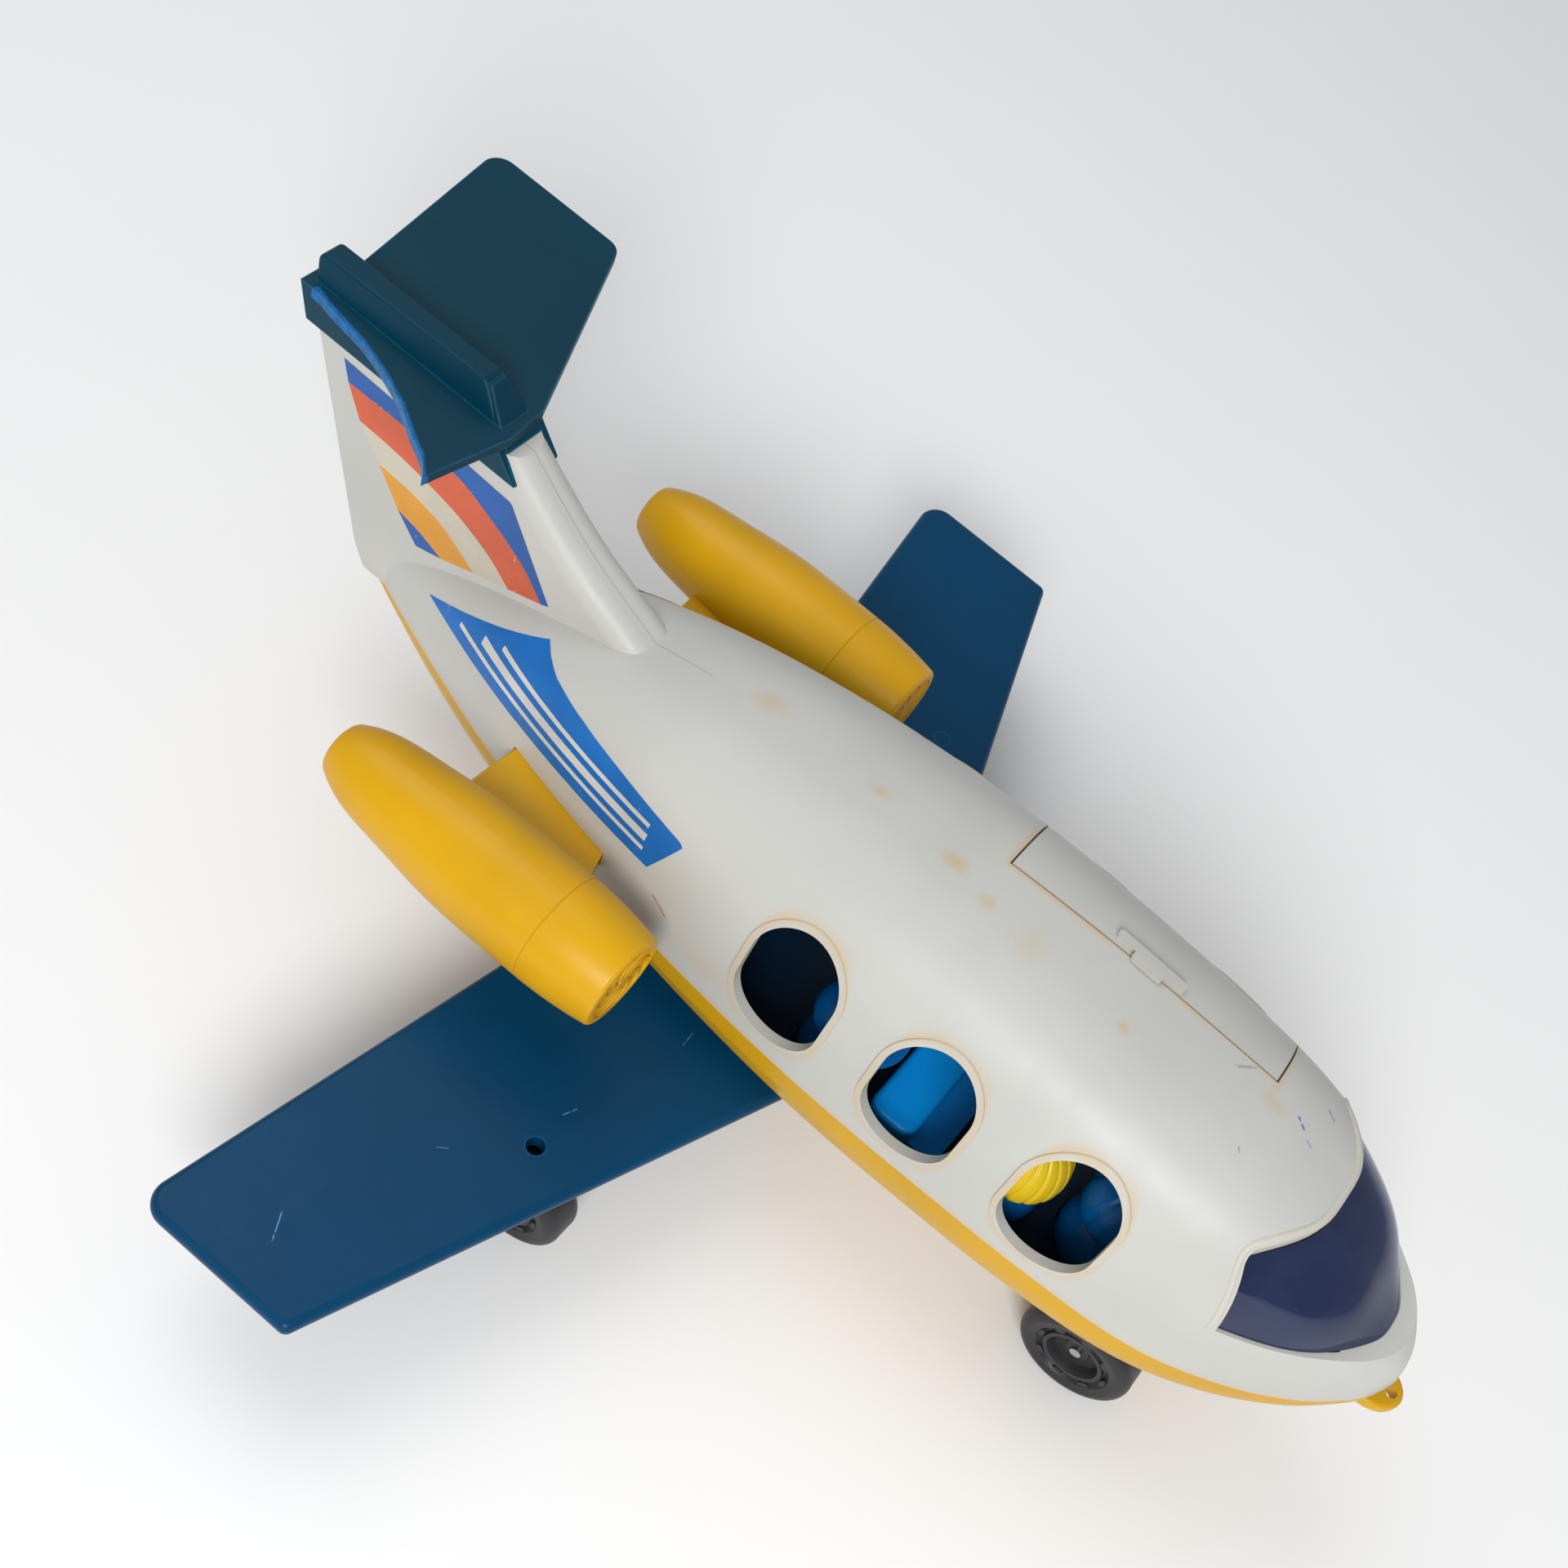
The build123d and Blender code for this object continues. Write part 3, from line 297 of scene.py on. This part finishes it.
def door_edges(s):
    """Yellowing along the shell's edge round the door."""
    port = s.ramp(s.axis("Y"), 4.5, 6.0)
    rear = s.ramp(s.math("ABSOLUTE", s.math("SUBTRACT", s.axis("X"), DOOR_REAR_X)), 0.3, 1.5, 1.0, 0.0)
    front = s.ramp(s.math("ABSOLUTE", s.math("SUBTRACT", s.axis("X"), DOOR_FRONT_X)), 0.3, 1.5, 1.0, 0.0)
    ends = s.math("MULTIPLY", s.math("MAXIMUM", rear, front), port)
    line = s.math("MULTIPLY_ADD", s.axis("X"), -0.0363, s.axis("Y"))
    top = s.ramp(s.math("ABSOLUTE", s.math("SUBTRACT", line, 4.6)), 0.3, 1.5, 1.0, 0.0)
    from_middle = s.math("ABSOLUTE", s.math("SUBTRACT", s.axis("X"), DOOR_MIDDLE_X))
    top = s.math("MULTIPLY", top, s.ramp(from_middle, 37.2, 38.2, 1.0, 0.0))
    top = s.math("MULTIPLY", top, s.ramp(s.axis("Z"), 95.0, 98.0))
    patchy = s.ramp(s.noise(0.08, 4.0), 0.3, 0.6, 0.4, 1.0)
    return s.math("MULTIPLY", s.math("MAXIMUM", ends, top), patchy), YELLOWED, 0.55


def cabin_floor_painted_shade(s):
    """Painted shade: the deck below the seats is painted a much darker navy than the seats, for the shade at
    the bottom of the cabin.
    """
    return s.ramp(s.axis("Z"), 45.3, 46.4, 1.0, 0.0), (0.001, 0.006, 0.016), 0.97


GREY = (0.20, 0.19, 0.17)
RED = (0.45, 0.06, 0.04)
PALE_BLUE = (0.12, 0.28, 0.48)
# centre, radii in mm, strength
STAINS = [
    ((-35.8, 2.8, 107.5), (7, 5, 4), 0.42),
    ((-3.1, -0.3, 111.5), (4.5, 2.2, 3), 0.5),
    ((19.3, -3.3, 112.8), (5.5, 3.5, 3), 0.6),
    ((30.4, -6.4, 113.0), (3.2, 3, 3), 0.5),
    ((43.0, -8.2, 112.8), (6, 7, 3), 0.22),
    ((69.4, -8.6, 111.9), (2.6, 2.6, 3), 0.55),
    ((104.5, 3.6, 109.1), (5, 3, 3), 0.35),
    ((-12.0, -38.0, 68.0), (14, 6, 6), 0.25),
]
# start, end in mm, width, colour, strength
MARKS = [
    ((110.4, 5.8, 108.2), (113.6, 3.8, 107.7), 0.42, INK, 0.85),
    ((115.4, 14.1, 106.1), (118.1, 12.3, 106.0), 0.34, INK, 0.7),
    ((114.8, 2.6, 107.5), (117.1, 1.7, 107.2), 0.3, INK, 0.45),
    ((103.6, -11.0, 108.6), (104.9, -12.2, 108.4), 0.3, GREY, 0.6),
    ((93.0, 3.4, 110.2), (97.6, 8.0, 109.6), 0.5, GREY, 0.5),
    ((-30.9, -34.4, 73.1), (-23.7, -35.6, 69.5), 0.4, RED, 0.7),
    ((-29.0, -35.0, 71.0), (-25.5, -35.9, 68.4), 0.25, RED, 0.5),
    ((60.0, -20.0, 108.0), (61.4, -20.6, 107.8), 0.3, GREY, 0.5),
]
SCRATCHES = [
    ((-43.0, -133.3, 39.4), (-39.3, -140.3, 39.5), 0.22, PALE_BLUE, 0.9),
    ((-6.3, -40.0, 37.1), (-6.8, -34.8, 37.0), 0.2, PALE_BLUE, 0.8),
    ((-15.0, -74.0, 37.9), (-13.4, -70.0, 37.8), 0.2, PALE_BLUE, 0.8),
    ((-30.0, -100.0, 38.6), (-27.5, -98.0, 38.5), 0.16, PALE_BLUE, 0.6),
]
# x, y in mm where the starboard tailplane half snapped off
BREAK = [
    (-116.2, -28.2),
    (-121.1, -23.6),
    (-125.1, -21.5),
    (-133.1, -16.6),
    (-141.7, -12.8),
    (-151.5, -9.8),
    (-163.3, -7.9),
    (-167.4, -6.5),
]
BREAK_Z = 129.9
BREAK_BLUE = (0.01, 0.16, 0.46)


def broken_edge(s):
    """Bright, stressed plastic along the snapped edge."""
    total = None
    for (xa, ya), (xb, yb) in zip(BREAK, BREAK[1:]):
        across, reach, half = s.line_distance((xa, ya, BREAK_Z), (xb, yb, BREAK_Z))
        near = s.ramp(across, 1.3, 1.8, 1.0, 0.0)
        near = s.math("MULTIPLY", near, s.ramp(reach, half + 0.3, half + 0.8, 1.0, 0.0))
        total = near if total is None else s.math("MAXIMUM", total, near)
    patchy = s.ramp(s.noise(0.6, 5.0), 0.35, 0.6, 0.55, 1.0)
    return s.math("MULTIPLY", total, patchy), BREAK_BLUE, 0.9


def stain(centre, radii, amount):
    return lambda s: (s.spot(centre, radii, 0.9), STAIN, amount)


def stroke(start, end, width, tint, amount):
    return lambda s: (s.streak(start, end, width), tint, amount)


scratch_marks = [stroke(*each) for each in SCRATCHES]
white_marks = [window_rims, split_line, fin_mould_line, door_edges]
white_marks += [stain(*each) for each in STAINS]
white_marks += [stroke(*each) for each in MARKS]

WHITE = (0.53, 0.527, 0.495)
YELLOW = (0.66, 0.35, 0.001)
HULL_YELLOW = (0.60, 0.33, 0.001)
WING_BLUE = (0.0, 0.048, 0.122)
TAIL_BLUE = (0.0, 0.037, 0.066)
DECK_BLUE = (0.0, 0.30, 0.85)

shell_mat = plastic("shell_white_plastic", WHITE, 0.42, YELLOWED, 0.3, white_marks, 0.03)
# Painted shade: the door gets the shell's white made 3% darker, for its side facing away from the light.
door_white_painted_shade = tuple(c * 0.97 for c in WHITE)
door_mat = plastic("door_white_plastic_painted_shade", door_white_painted_shade, 0.42, YELLOWED, 0.3, [window_rims], 0.03)
# The lighter edge tints below are wear plus a painted highlight along the rounded edges.
belly_mat = plastic("belly_yellow_plastic", HULL_YELLOW, 0.34, (0.70, 0.46, 0.05), 0.35)
pod_mat = plastic("pod_yellow_plastic", YELLOW, 0.36, (0.76, 0.50, 0.05), 0.4)
wing_mat = plastic("wing_blue_plastic", WING_BLUE, 0.33, (0.005, 0.13, 0.36), 0.8, scratch_marks, gloss=0.16)
tail_mat = plastic("tail_blue_plastic", TAIL_BLUE, 0.4, (0.004, 0.11, 0.19), 0.8, [broken_edge], gloss=0.16)
# The deck's floor carries painted shade, near-black below the seats.
deck_mat = plastic("deck_blue_plastic", DECK_BLUE, 0.32, (0.01, 0.30, 0.70), 0.3, [cabin_floor_painted_shade])
TYRE_GREY = (0.024, 0.024, 0.027)
tyre_mat = plastic("tyre_charcoal_plastic", TYRE_GREY, 0.42, (0.06, 0.06, 0.065), 0.5, variation=0.15)
peg_mat = plastic("peg_blue_plastic", (0.001, 0.14, 0.46), 0.28, (0.02, 0.28, 0.66), 0.4)
skin_mat = plastic("peg_skin_plastic", (0.66, 0.38, 0.25), 0.4, (0.75, 0.5, 0.36), 0.3)
hair_mat = plastic("peg_hair_yellow_plastic", (0.86, 0.60, 0.02), 0.3, (0.92, 0.7, 0.2), 0.4)


def steel():
    s = Shader("axle_bright_steel")
    drawn = s.noise(1.0, 5.0, 0.6, s.stretched((3.0, 0.1, 3.0)))
    colour = s.mix(s.ramp(drawn, 0.3, 0.7), (0.42, 0.41, 0.39), (0.62, 0.61, 0.58))
    rust = s.ramp(s.noise(0.5, 5.0), 0.6, 0.7)
    colour = s.mix(s.math("MULTIPLY", rust, 0.5), colour, (0.24, 0.11, 0.04))
    s.bsdf.inputs["Metallic"].default_value = 1.0
    return s.finish(colour, s.math("MULTIPLY_ADD", drawn, 0.25, 0.16), drawn, 0.1, 0.03)


def tinted_glass():
    """Clear navy plastic with handling haze."""
    s = Shader("windshield_navy_clear")
    haze = s.ramp(s.noise(0.06, 4.0), 0.4, 0.7)
    colour = s.mix(haze, (0.02, 0.045, 0.17), (0.035, 0.07, 0.22))
    scratches = s.ramp(s.noise(1.0, 4.0, 0.6, s.stretched((0.07, 1.2, 1.2))), 0.66, 0.70)
    colour = s.mix(s.math("MULTIPLY", scratches, 0.12), colour, (0.4, 0.45, 0.6))
    s.bsdf.inputs["Transmission Weight"].default_value = 0.7
    s.bsdf.inputs["IOR"].default_value = 1.49
    rough = s.math("MULTIPLY_ADD", scratches, 0.15, s.math("MULTIPLY_ADD", haze, 0.05, 0.04), clamp=True)
    return s.finish(colour, rough)


steel_mat = steel()
glass_mat = tinted_glass()

FINISHES = {
    shell_mat: ["upper_shell"],
    door_mat: ["door"],
    belly_mat: ["lower_hull"],
    pod_mat: ["engine_pod_left", "engine_pod_right", "engine_inlet_left", "engine_inlet_right"],
    wing_mat: ["wing"],
    tail_mat: ["tail_cap"],
    glass_mat: ["windshield"],
    deck_mat: ["seat_deck"],
    tyre_mat: ["nose_wheel_left", "nose_wheel_right", "main_wheel_left", "main_wheel_right"],
    steel_mat: ["door_hinge_pin", "nose_axle", "main_axle_left", "main_axle_right", "shell_screws"],
    peg_mat: ["girl_body", "boy_body", "pilot_body", "boy_hair", "pilot_hair"],
    skin_mat: ["girl_head", "boy_head", "pilot_head"],
    hair_mat: ["girl_hair"],
}
for material, members in FINISHES.items():
    for member in members:
        coat(member, material)


# ------------------------------------------------------------------ labels
def surface(node_name):
    mesh = NODES[node_name].data
    corners = [v.co.copy() for v in mesh.vertices]
    faces = [tuple(p.vertices) for p in mesh.polygons]
    return BVHTree.FromPolygons(corners, faces)


SHELL = surface("upper_shell")


def on_side(x, z, side, lift):
    """The point of the white shell at x, z (mm) seen from one side, lifted off it by lift mm."""
    start = Vector((x * MM, side * 0.3, z * MM))
    hit, normal, _, _ = SHELL.ray_cast(start, Vector((0, -side, 0)))
    if hit is None:
        return None
    if normal.y * side < 0:
        normal = -normal
    return hit + normal * lift * MM


def curve_points(points, count, sharp=False):
    """count points along a polyline or a smooth curve through points, evenly by length."""
    if not sharp:
        fine = []
        for i in range(len(points) - 1):
            before = Vector(points[max(i - 1, 0)])
            a, b = Vector(points[i]), Vector(points[i + 1])
            after = Vector(points[min(i + 2, len(points) - 1)])
            for k in range(12):
                t = k / 12
                squared = (2 * before - 5 * a + 4 * b - after) * t * t
                cubed = (3 * a - before - 3 * b + after) * t ** 3
                fine.append(0.5 * (2 * a + (b - before) * t + squared + cubed))
        fine.append(Vector(points[-1]))
    else:
        fine = [Vector(p) for p in points]
    reach = [0.0]
    for a, b in zip(fine, fine[1:]):
        reach.append(reach[-1] + (b - a).length)
    result = []
    for k in range(count):
        goal = reach[-1] * k / (count - 1)
        i = max(j for j in range(len(reach) - 1) if reach[j] <= goal + 1e-9)
        span = reach[i + 1] - reach[i]
        result.append(fine[i].lerp(fine[i + 1], (goal - reach[i]) / span if span else 0.0))
    return result


def band(mesh, upper, lower, side, lift, slot, columns=70, rows=10, sharp=(False, False)):
    """A strip of label between two curves given as x, z points, laid on the shell."""
    top = curve_points(upper, columns, sharp[0])
    bottom = curve_points(lower, columns, sharp[1])
    grid = []
    for a, b in zip(top, bottom):
        grid.append([])
        for r in range(rows):
            p = a.lerp(b, r / (rows - 1))
            spot = on_side(p[0], p[1], side, lift)
            grid[-1].append(mesh.verts.new(spot) if spot else None)
    for i in range(columns - 1):
        for j in range(rows - 1):
            corners = [grid[i][j], grid[i + 1][j], grid[i + 1][j + 1], grid[i][j + 1]]
            if None in corners:
                continue
            if side > 0:
                corners.reverse()
            face = mesh.faces.new(corners)
            face.material_index = slot
            face.smooth = True


def piece(name, mesh, materials, body, replaces=None):
    data = bpy.data.meshes.new(name)
    if replaces:
        bmesh.ops.recalc_face_normals(mesh, faces=mesh.faces)
    mesh.to_mesh(data)
    mesh.free()
    for material in materials:
        data.materials.append(material)
    obj = bpy.data.objects.new(name, data)
    bpy.context.scene.collection.objects.link(obj)
    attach(obj, body)
    if replaces:
        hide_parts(replaces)
    return obj


def label_film(name, base, worn=(0.56, 0.54, 0.50), wear=0.5):
    """Printed paper label: slight fading, fine scratches through the ink."""
    s = Shader(name)
    fade = s.ramp(s.noise(0.05, 4.0), 0.35, 0.65)
    dark = tuple(c * 0.9 for c in base)
    light = tuple(min(1, c * 1.08) for c in base)
    colour = s.mix(fade, dark, light)
    cracks = s.ramp(s.noise(1.0, 6.0, 0.65, s.stretched((0.5, 0.3, 0.16))), 0.655, 0.675)
    flecks = s.ramp(s.noise(0.7, 8.0, 0.7), 0.67, 0.69)
    lost = s.math("MULTIPLY", s.math("MAXIMUM", cracks, flecks), wear, clamp=True)
    colour = s.mix(lost, colour, worn)
    rough = s.math("MULTIPLY_ADD", s.noise(0.3, 4.0), 0.2, 0.32)
    return s.finish(colour, rough, s.noise(1.5, 4.0), 0.08, 0.05)


film_blue = label_film("label_deep_blue", (0.0, 0.085, 0.36), wear=0.8)
film_orange = label_film("label_orange", (0.60, 0.095, 0.03), wear=0.8)
film_cream = label_film("label_cream", (0.55, 0.50, 0.40))
film_amber = label_film("label_amber", (0.70, 0.30, 0.01))
film_sky = label_film("label_bright_blue", (0.0, 0.135, 0.47), wear=0.15)
film_white = label_film("label_white", (0.60, 0.60, 0.58), wear=0.1)

# x, z in mm on the fin's side, from the trailing edge over the top and down the front
FIN_OUTER = [(-158.1, 117.6), (-132.0, 117.0), (-107.0, 116.0), (-91.0, 95.0)]
FIN_ORANGE = [
    (-156.1, 111.8),
    (-138.0, 112.3),
    (-122.3, 110.8),
    (-111.5, 106.8),
    (-100.5, 100.9),
    (-93.0, 93.9),
]
FIN_CREAM = [
    (-151.4, 103.2),
    (-141.0, 102.9),
    (-130.9, 101.7),
    (-120.4, 99.6),
    (-109.8, 95.3),
    (-102.5, 90.0),
]
FIN_AMBER = [(-144.1, 95.1), (-134.9, 94.6), (-129.5, 93.8), (-122.8, 91.9), (-112.5, 86.0)]
FIN_INNER = [(-136.8, 85.9), (-130.5, 84.7), (-126.4, 83.4), (-122.3, 81.8)]
FIN_FOOT = [(-130.0, 79.2), (-126.0, 80.5), (-122.3, 81.8)]

# x, z in mm on the cabin's side
SIDE_TOP = [
    (-120.3, 73.6),
    (-101.7, 83.7),
    (-85.5, 92.5),
    (-82.0, 91.9),
    (-77.7, 91.3),
    (-71.2, 91.2),
    (-50.0, 91.3),
    (-30.2, 90.8),
    (-29.3, 90.2),
]
SIDE_BOTTOM = [(-120.3, 73.4), (-100.0, 74.5), (-77.0, 75.9), (-55.0, 77.1), (-34.6, 78.3)]

FIN_FILMS = [film_blue, film_orange, film_cream, film_amber]
LABEL_LIFT = 0.1  # mm off the shell
LINE_LIFT = 0.16
# lower and upper edge above the label's foot, x of the rear end, mm
LABEL_LINES = [(3.0, 4.1, -108.0), (5.6, 7.6, -100.0), (9.1, 10.2, -94.0)]
LINE_FRONT_X = -37.0
LINE_SLANT = 0.18  # a higher line stops this much sooner per mm
LINE_POINTS = 30


def foot_height(x):
    """Height of the side label's lower edge at x, mm."""
    return 73.4 + (x + 120.3) * 4.9 / 85.7


for side, side_name in ((1, "port"), (-1, "starboard")):
    fin = bmesh.new()
    band(fin, FIN_OUTER, FIN_ORANGE, side, LABEL_LIFT, 0, rows=8, sharp=(True, False))
    band(fin, FIN_ORANGE, FIN_CREAM, side, LABEL_LIFT, 1)
    band(fin, FIN_CREAM, FIN_AMBER, side, LABEL_LIFT, 2)
    band(fin, FIN_AMBER, FIN_INNER, side, LABEL_LIFT, 3)
    band(fin, FIN_INNER, FIN_FOOT, side, LABEL_LIFT, 0, columns=24, rows=8)
    piece(f"fin_label_{side_name}", fin, FIN_FILMS, "airframe")
    cabin = bmesh.new()
    band(cabin, SIDE_TOP, SIDE_BOTTOM, side, LABEL_LIFT, 0, columns=120, rows=24, sharp=(True, True))
    piece(f"side_label_{side_name}", cabin, [film_sky], "airframe")
    lines = bmesh.new()
    for low_edge, high_edge, start_x in LABEL_LINES:
        upper_line, lower_line = [], []
        for k in range(LINE_POINTS):
            x = start_x + (LINE_FRONT_X - LINE_SLANT * low_edge - start_x) * k / (LINE_POINTS - 1)
            upper_line.append((x, foot_height(x) + high_edge))
            lower_line.append((x, foot_height(x) + low_edge))
        band(lines, upper_line, lower_line, side, LINE_LIFT, 0, columns=60, rows=4, sharp=(True, True))
    piece(f"side_label_lines_{side_name}", lines, [film_white], "airframe")


# ------------------------------------------------------------------ bead round the windshield
def from_above(x, y):
    """The shell's outer point and normal at x, y (mm), seen from above."""
    hit, normal, _, _ = SHELL.ray_cast(Vector((x * MM, y * MM, 0.2)), Vector((0, 0, -1)))
    if normal and normal.z <= 0:
        normal = -normal
    return hit, normal


BEAD_WIDTH = 1.7
BEAD_RISE = 0.55
BEAD_SETBACK = 1.15
BEAD_STEPS = 6  # faces across the bead
# x, y in mm along the edge of the windshield opening, starboard side to the middle
OPENING = [
    (125.4, -30.9),
    (122.6, -28.2),
    (120.3, -25.8),
    (119.9, -23.6),
    (122.5, -20.0),
    (126.6, -14.0),
    (128.8, -8.5),
    (129.3, 0.0),
]
whole = OPENING + [(x, -y) for x, y in reversed(OPENING[:-1])]
path = curve_points(whole, 150)
bead = bmesh.new()
rows = []
for i, p in enumerate(path):
    ahead, behind = path[min(i + 1, len(path) - 1)], path[max(i - 1, 0)]
    along = (ahead - behind).normalized()
    back = Vector((-along[1], along[0]))
    row = []
    for k in range(BEAD_STEPS + 1):
        share = k / BEAD_STEPS
        offset = BEAD_SETBACK + (share - 0.5) * BEAD_WIDTH
        spot, up = from_above(p[0] + back[0] * offset, p[1] + back[1] * offset)
        if spot is None:
            row = None
            break
        height = BEAD_RISE * math.sin(math.pi * share) ** 0.6 - 0.05
        row.append(bead.verts.new(spot + up * height * MM))
    if row:
        rows.append(row)
for first, second in zip(rows, rows[1:]):
    for k in range(BEAD_STEPS):
        bead.faces.new((first[k], second[k], second[k + 1], first[k + 1])).smooth = True
bmesh.ops.recalc_face_normals(bead, faces=bead.faces)
bead_mat = plastic("bead_white_plastic", (0.57, 0.545, 0.48), 0.42, YELLOWED, 0.3, [], 0.05)
piece("windshield_bead", bead, [bead_mat], "airframe")


# ------------------------------------------------------------------ passengers
HAIR_POINTS = 216  # round the head
HAIR_LEVELS = 26  # from rim to crown


def dome(name, body, thickness, grooves, depth, material, replaces, hair_line, swirl):
    """Moulded hair or cap over the round head of a passenger, with grooves from crown to rim."""
    low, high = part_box(f"{body}_head")
    centre = Vector(((low.x + high.x) / 2, (low.y + high.y) / 2, high.z - (high.x - low.x) / 2))
    inner = (high.x - low.x) / 2
    outer = inner + thickness * MM
    mesh = bmesh.new()
    rings = []
    for i in range(HAIR_LEVELS + 1):
        rise = hair_line + (math.pi / 2 - hair_line) * i / HAIR_LEVELS
        ring = []
        for k in range(HAIR_POINTS):
            angle = 2 * math.pi * k / HAIR_POINTS
            sweep = angle + swirl * (math.pi / 2 - rise)
            wave = (0.5 + 0.5 * math.cos(sweep * grooves)) ** 12
            cut = depth * MM * wave * math.cos(rise) ** 0.4
            r = outer - cut
            if i == 0:
                r -= 0.3 * MM
            level = math.cos(rise)
            out = Vector((math.cos(angle) * level, math.sin(angle) * level, math.sin(rise)))
            ring.append(mesh.verts.new(centre + out * r))
        rings.append(ring)
    under = []
    for k in range(HAIR_POINTS):
        angle = 2 * math.pi * k / HAIR_POINTS
        out = Vector((math.cos(angle), math.sin(angle), 0)) * (inner - 0.1 * MM)
        under.append(mesh.verts.new(centre + out + Vector((0, 0, outer * math.sin(hair_line)))))
    rings.insert(0, under)
    for lower_ring, upper_ring in zip(rings, rings[1:]):
        for k in range(HAIR_POINTS):
            n = (k + 1) % HAIR_POINTS
            mesh.faces.new((lower_ring[k], lower_ring[n], upper_ring[n], upper_ring[k])).smooth = True
    bmesh.ops.remove_doubles(mesh, verts=mesh.verts, dist=1e-6)
    return piece(name, mesh, [material], body, replaces)


dome("girl_moulded_hair", "girl", 3.15, 18, 0.6, hair_mat, "girl_hair", -0.15, 0.35)
dome("pilot_moulded_cap", "pilot", 1.55, 6, 0.5, peg_mat, "pilot_hair", -0.3, 0.0)

# ------------------------------------------------------------------ plug in the port wing's hole
PLUG_X = -14.2
PLUG_Y = 84.0
PLUG_R = 2.42
PLUG_POINTS = 48
wing_top = surface("wing")
plug = bmesh.new()
plug_rings = []
for share, drop in ((0.0, 0.0), (0.5, 0.0), (0.88, 0.0), (0.97, 0.04), (1.0, 0.35)):
    ring = []
    for k in range(PLUG_POINTS):
        angle = 2 * math.pi * k / PLUG_POINTS
        x = PLUG_X + PLUG_R * share * math.cos(angle)
        y = PLUG_Y + PLUG_R * share * math.sin(angle)
        rim = PLUG_R + 0.6
        edge_x = PLUG_X + rim * math.cos(angle)
        edge_y = PLUG_Y + rim * math.sin(angle)
        near, _, _, _ = wing_top.ray_cast(Vector((edge_x * MM, edge_y * MM, 0.1)), Vector((0, 0, -1)))
        far_x, far_y = 2 * PLUG_X - edge_x, 2 * PLUG_Y - edge_y
        far, _, _, _ = wing_top.ray_cast(Vector((far_x * MM, far_y * MM, 0.1)), Vector((0, 0, -1)))
        middle = (near.z + far.z) / 2
        top = middle + (near.z - middle) * share * PLUG_R / rim
        ring.append(plug.verts.new((x * MM, y * MM, top + (0.05 - drop) * MM)))
    plug_rings.append(ring)
for inner_ring, outer_ring in zip(plug_rings, plug_rings[1:]):
    for k in range(PLUG_POINTS):
        n = (k + 1) % PLUG_POINTS
        plug.faces.new((inner_ring[k], outer_ring[k], outer_ring[n], inner_ring[n])).smooth = True
bmesh.ops.remove_doubles(plug, verts=plug.verts, dist=1e-6)
piece("port_wing_plug", plug, [wing_mat], "airframe")

# ------------------------------------------------------------------ floor and light
floor_mesh = bpy.data.meshes.new("floor")
floor_mesh.from_pydata([(-3, -3, 0), (3, -3, 0), (3, 3, 0), (-3, 3, 0)], [], [(0, 1, 2, 3)])
floor = bpy.data.objects.new("floor", floor_mesh)
bpy.context.scene.collection.objects.link(floor)
floor_shader = Shader("floor_paper")
floor_tone = floor_shader.mix(floor_shader.noise(0.01, 3.0), (0.93, 0.93, 0.93), (0.96, 0.96, 0.955))
floor_mesh.materials.append(floor_shader.finish(floor_tone, 0.9))


def soft_light(name, place, target, size, watts, colour=(1, 1, 1)):
    data = bpy.data.lights.new(name, "AREA")
    data.shape = "DISK"
    data.size = size
    data.energy = watts
    data.color = colour
    lamp = bpy.data.objects.new(name, data)
    lamp.location = place
    lamp.rotation_euler = (Vector(target) - Vector(place)).to_track_quat("-Z", "Y").to_euler()
    bpy.context.scene.collection.objects.link(lamp)


soft_light("key", (0.4, -0.95, 0.85), (0, 0, 0.06), 0.6, 12)
soft_light("fill", (-0.7, 0.2, 1.3), (0, 0, 0.06), 1.1, 5)

world = bpy.data.worlds.new("studio")
bpy.context.scene.world = world
world.use_nodes = True
world.node_tree.nodes["Background"].inputs["Color"].default_value = (0.9, 0.92, 0.95, 1)
world.node_tree.nodes["Background"].inputs["Strength"].default_value = 0.42
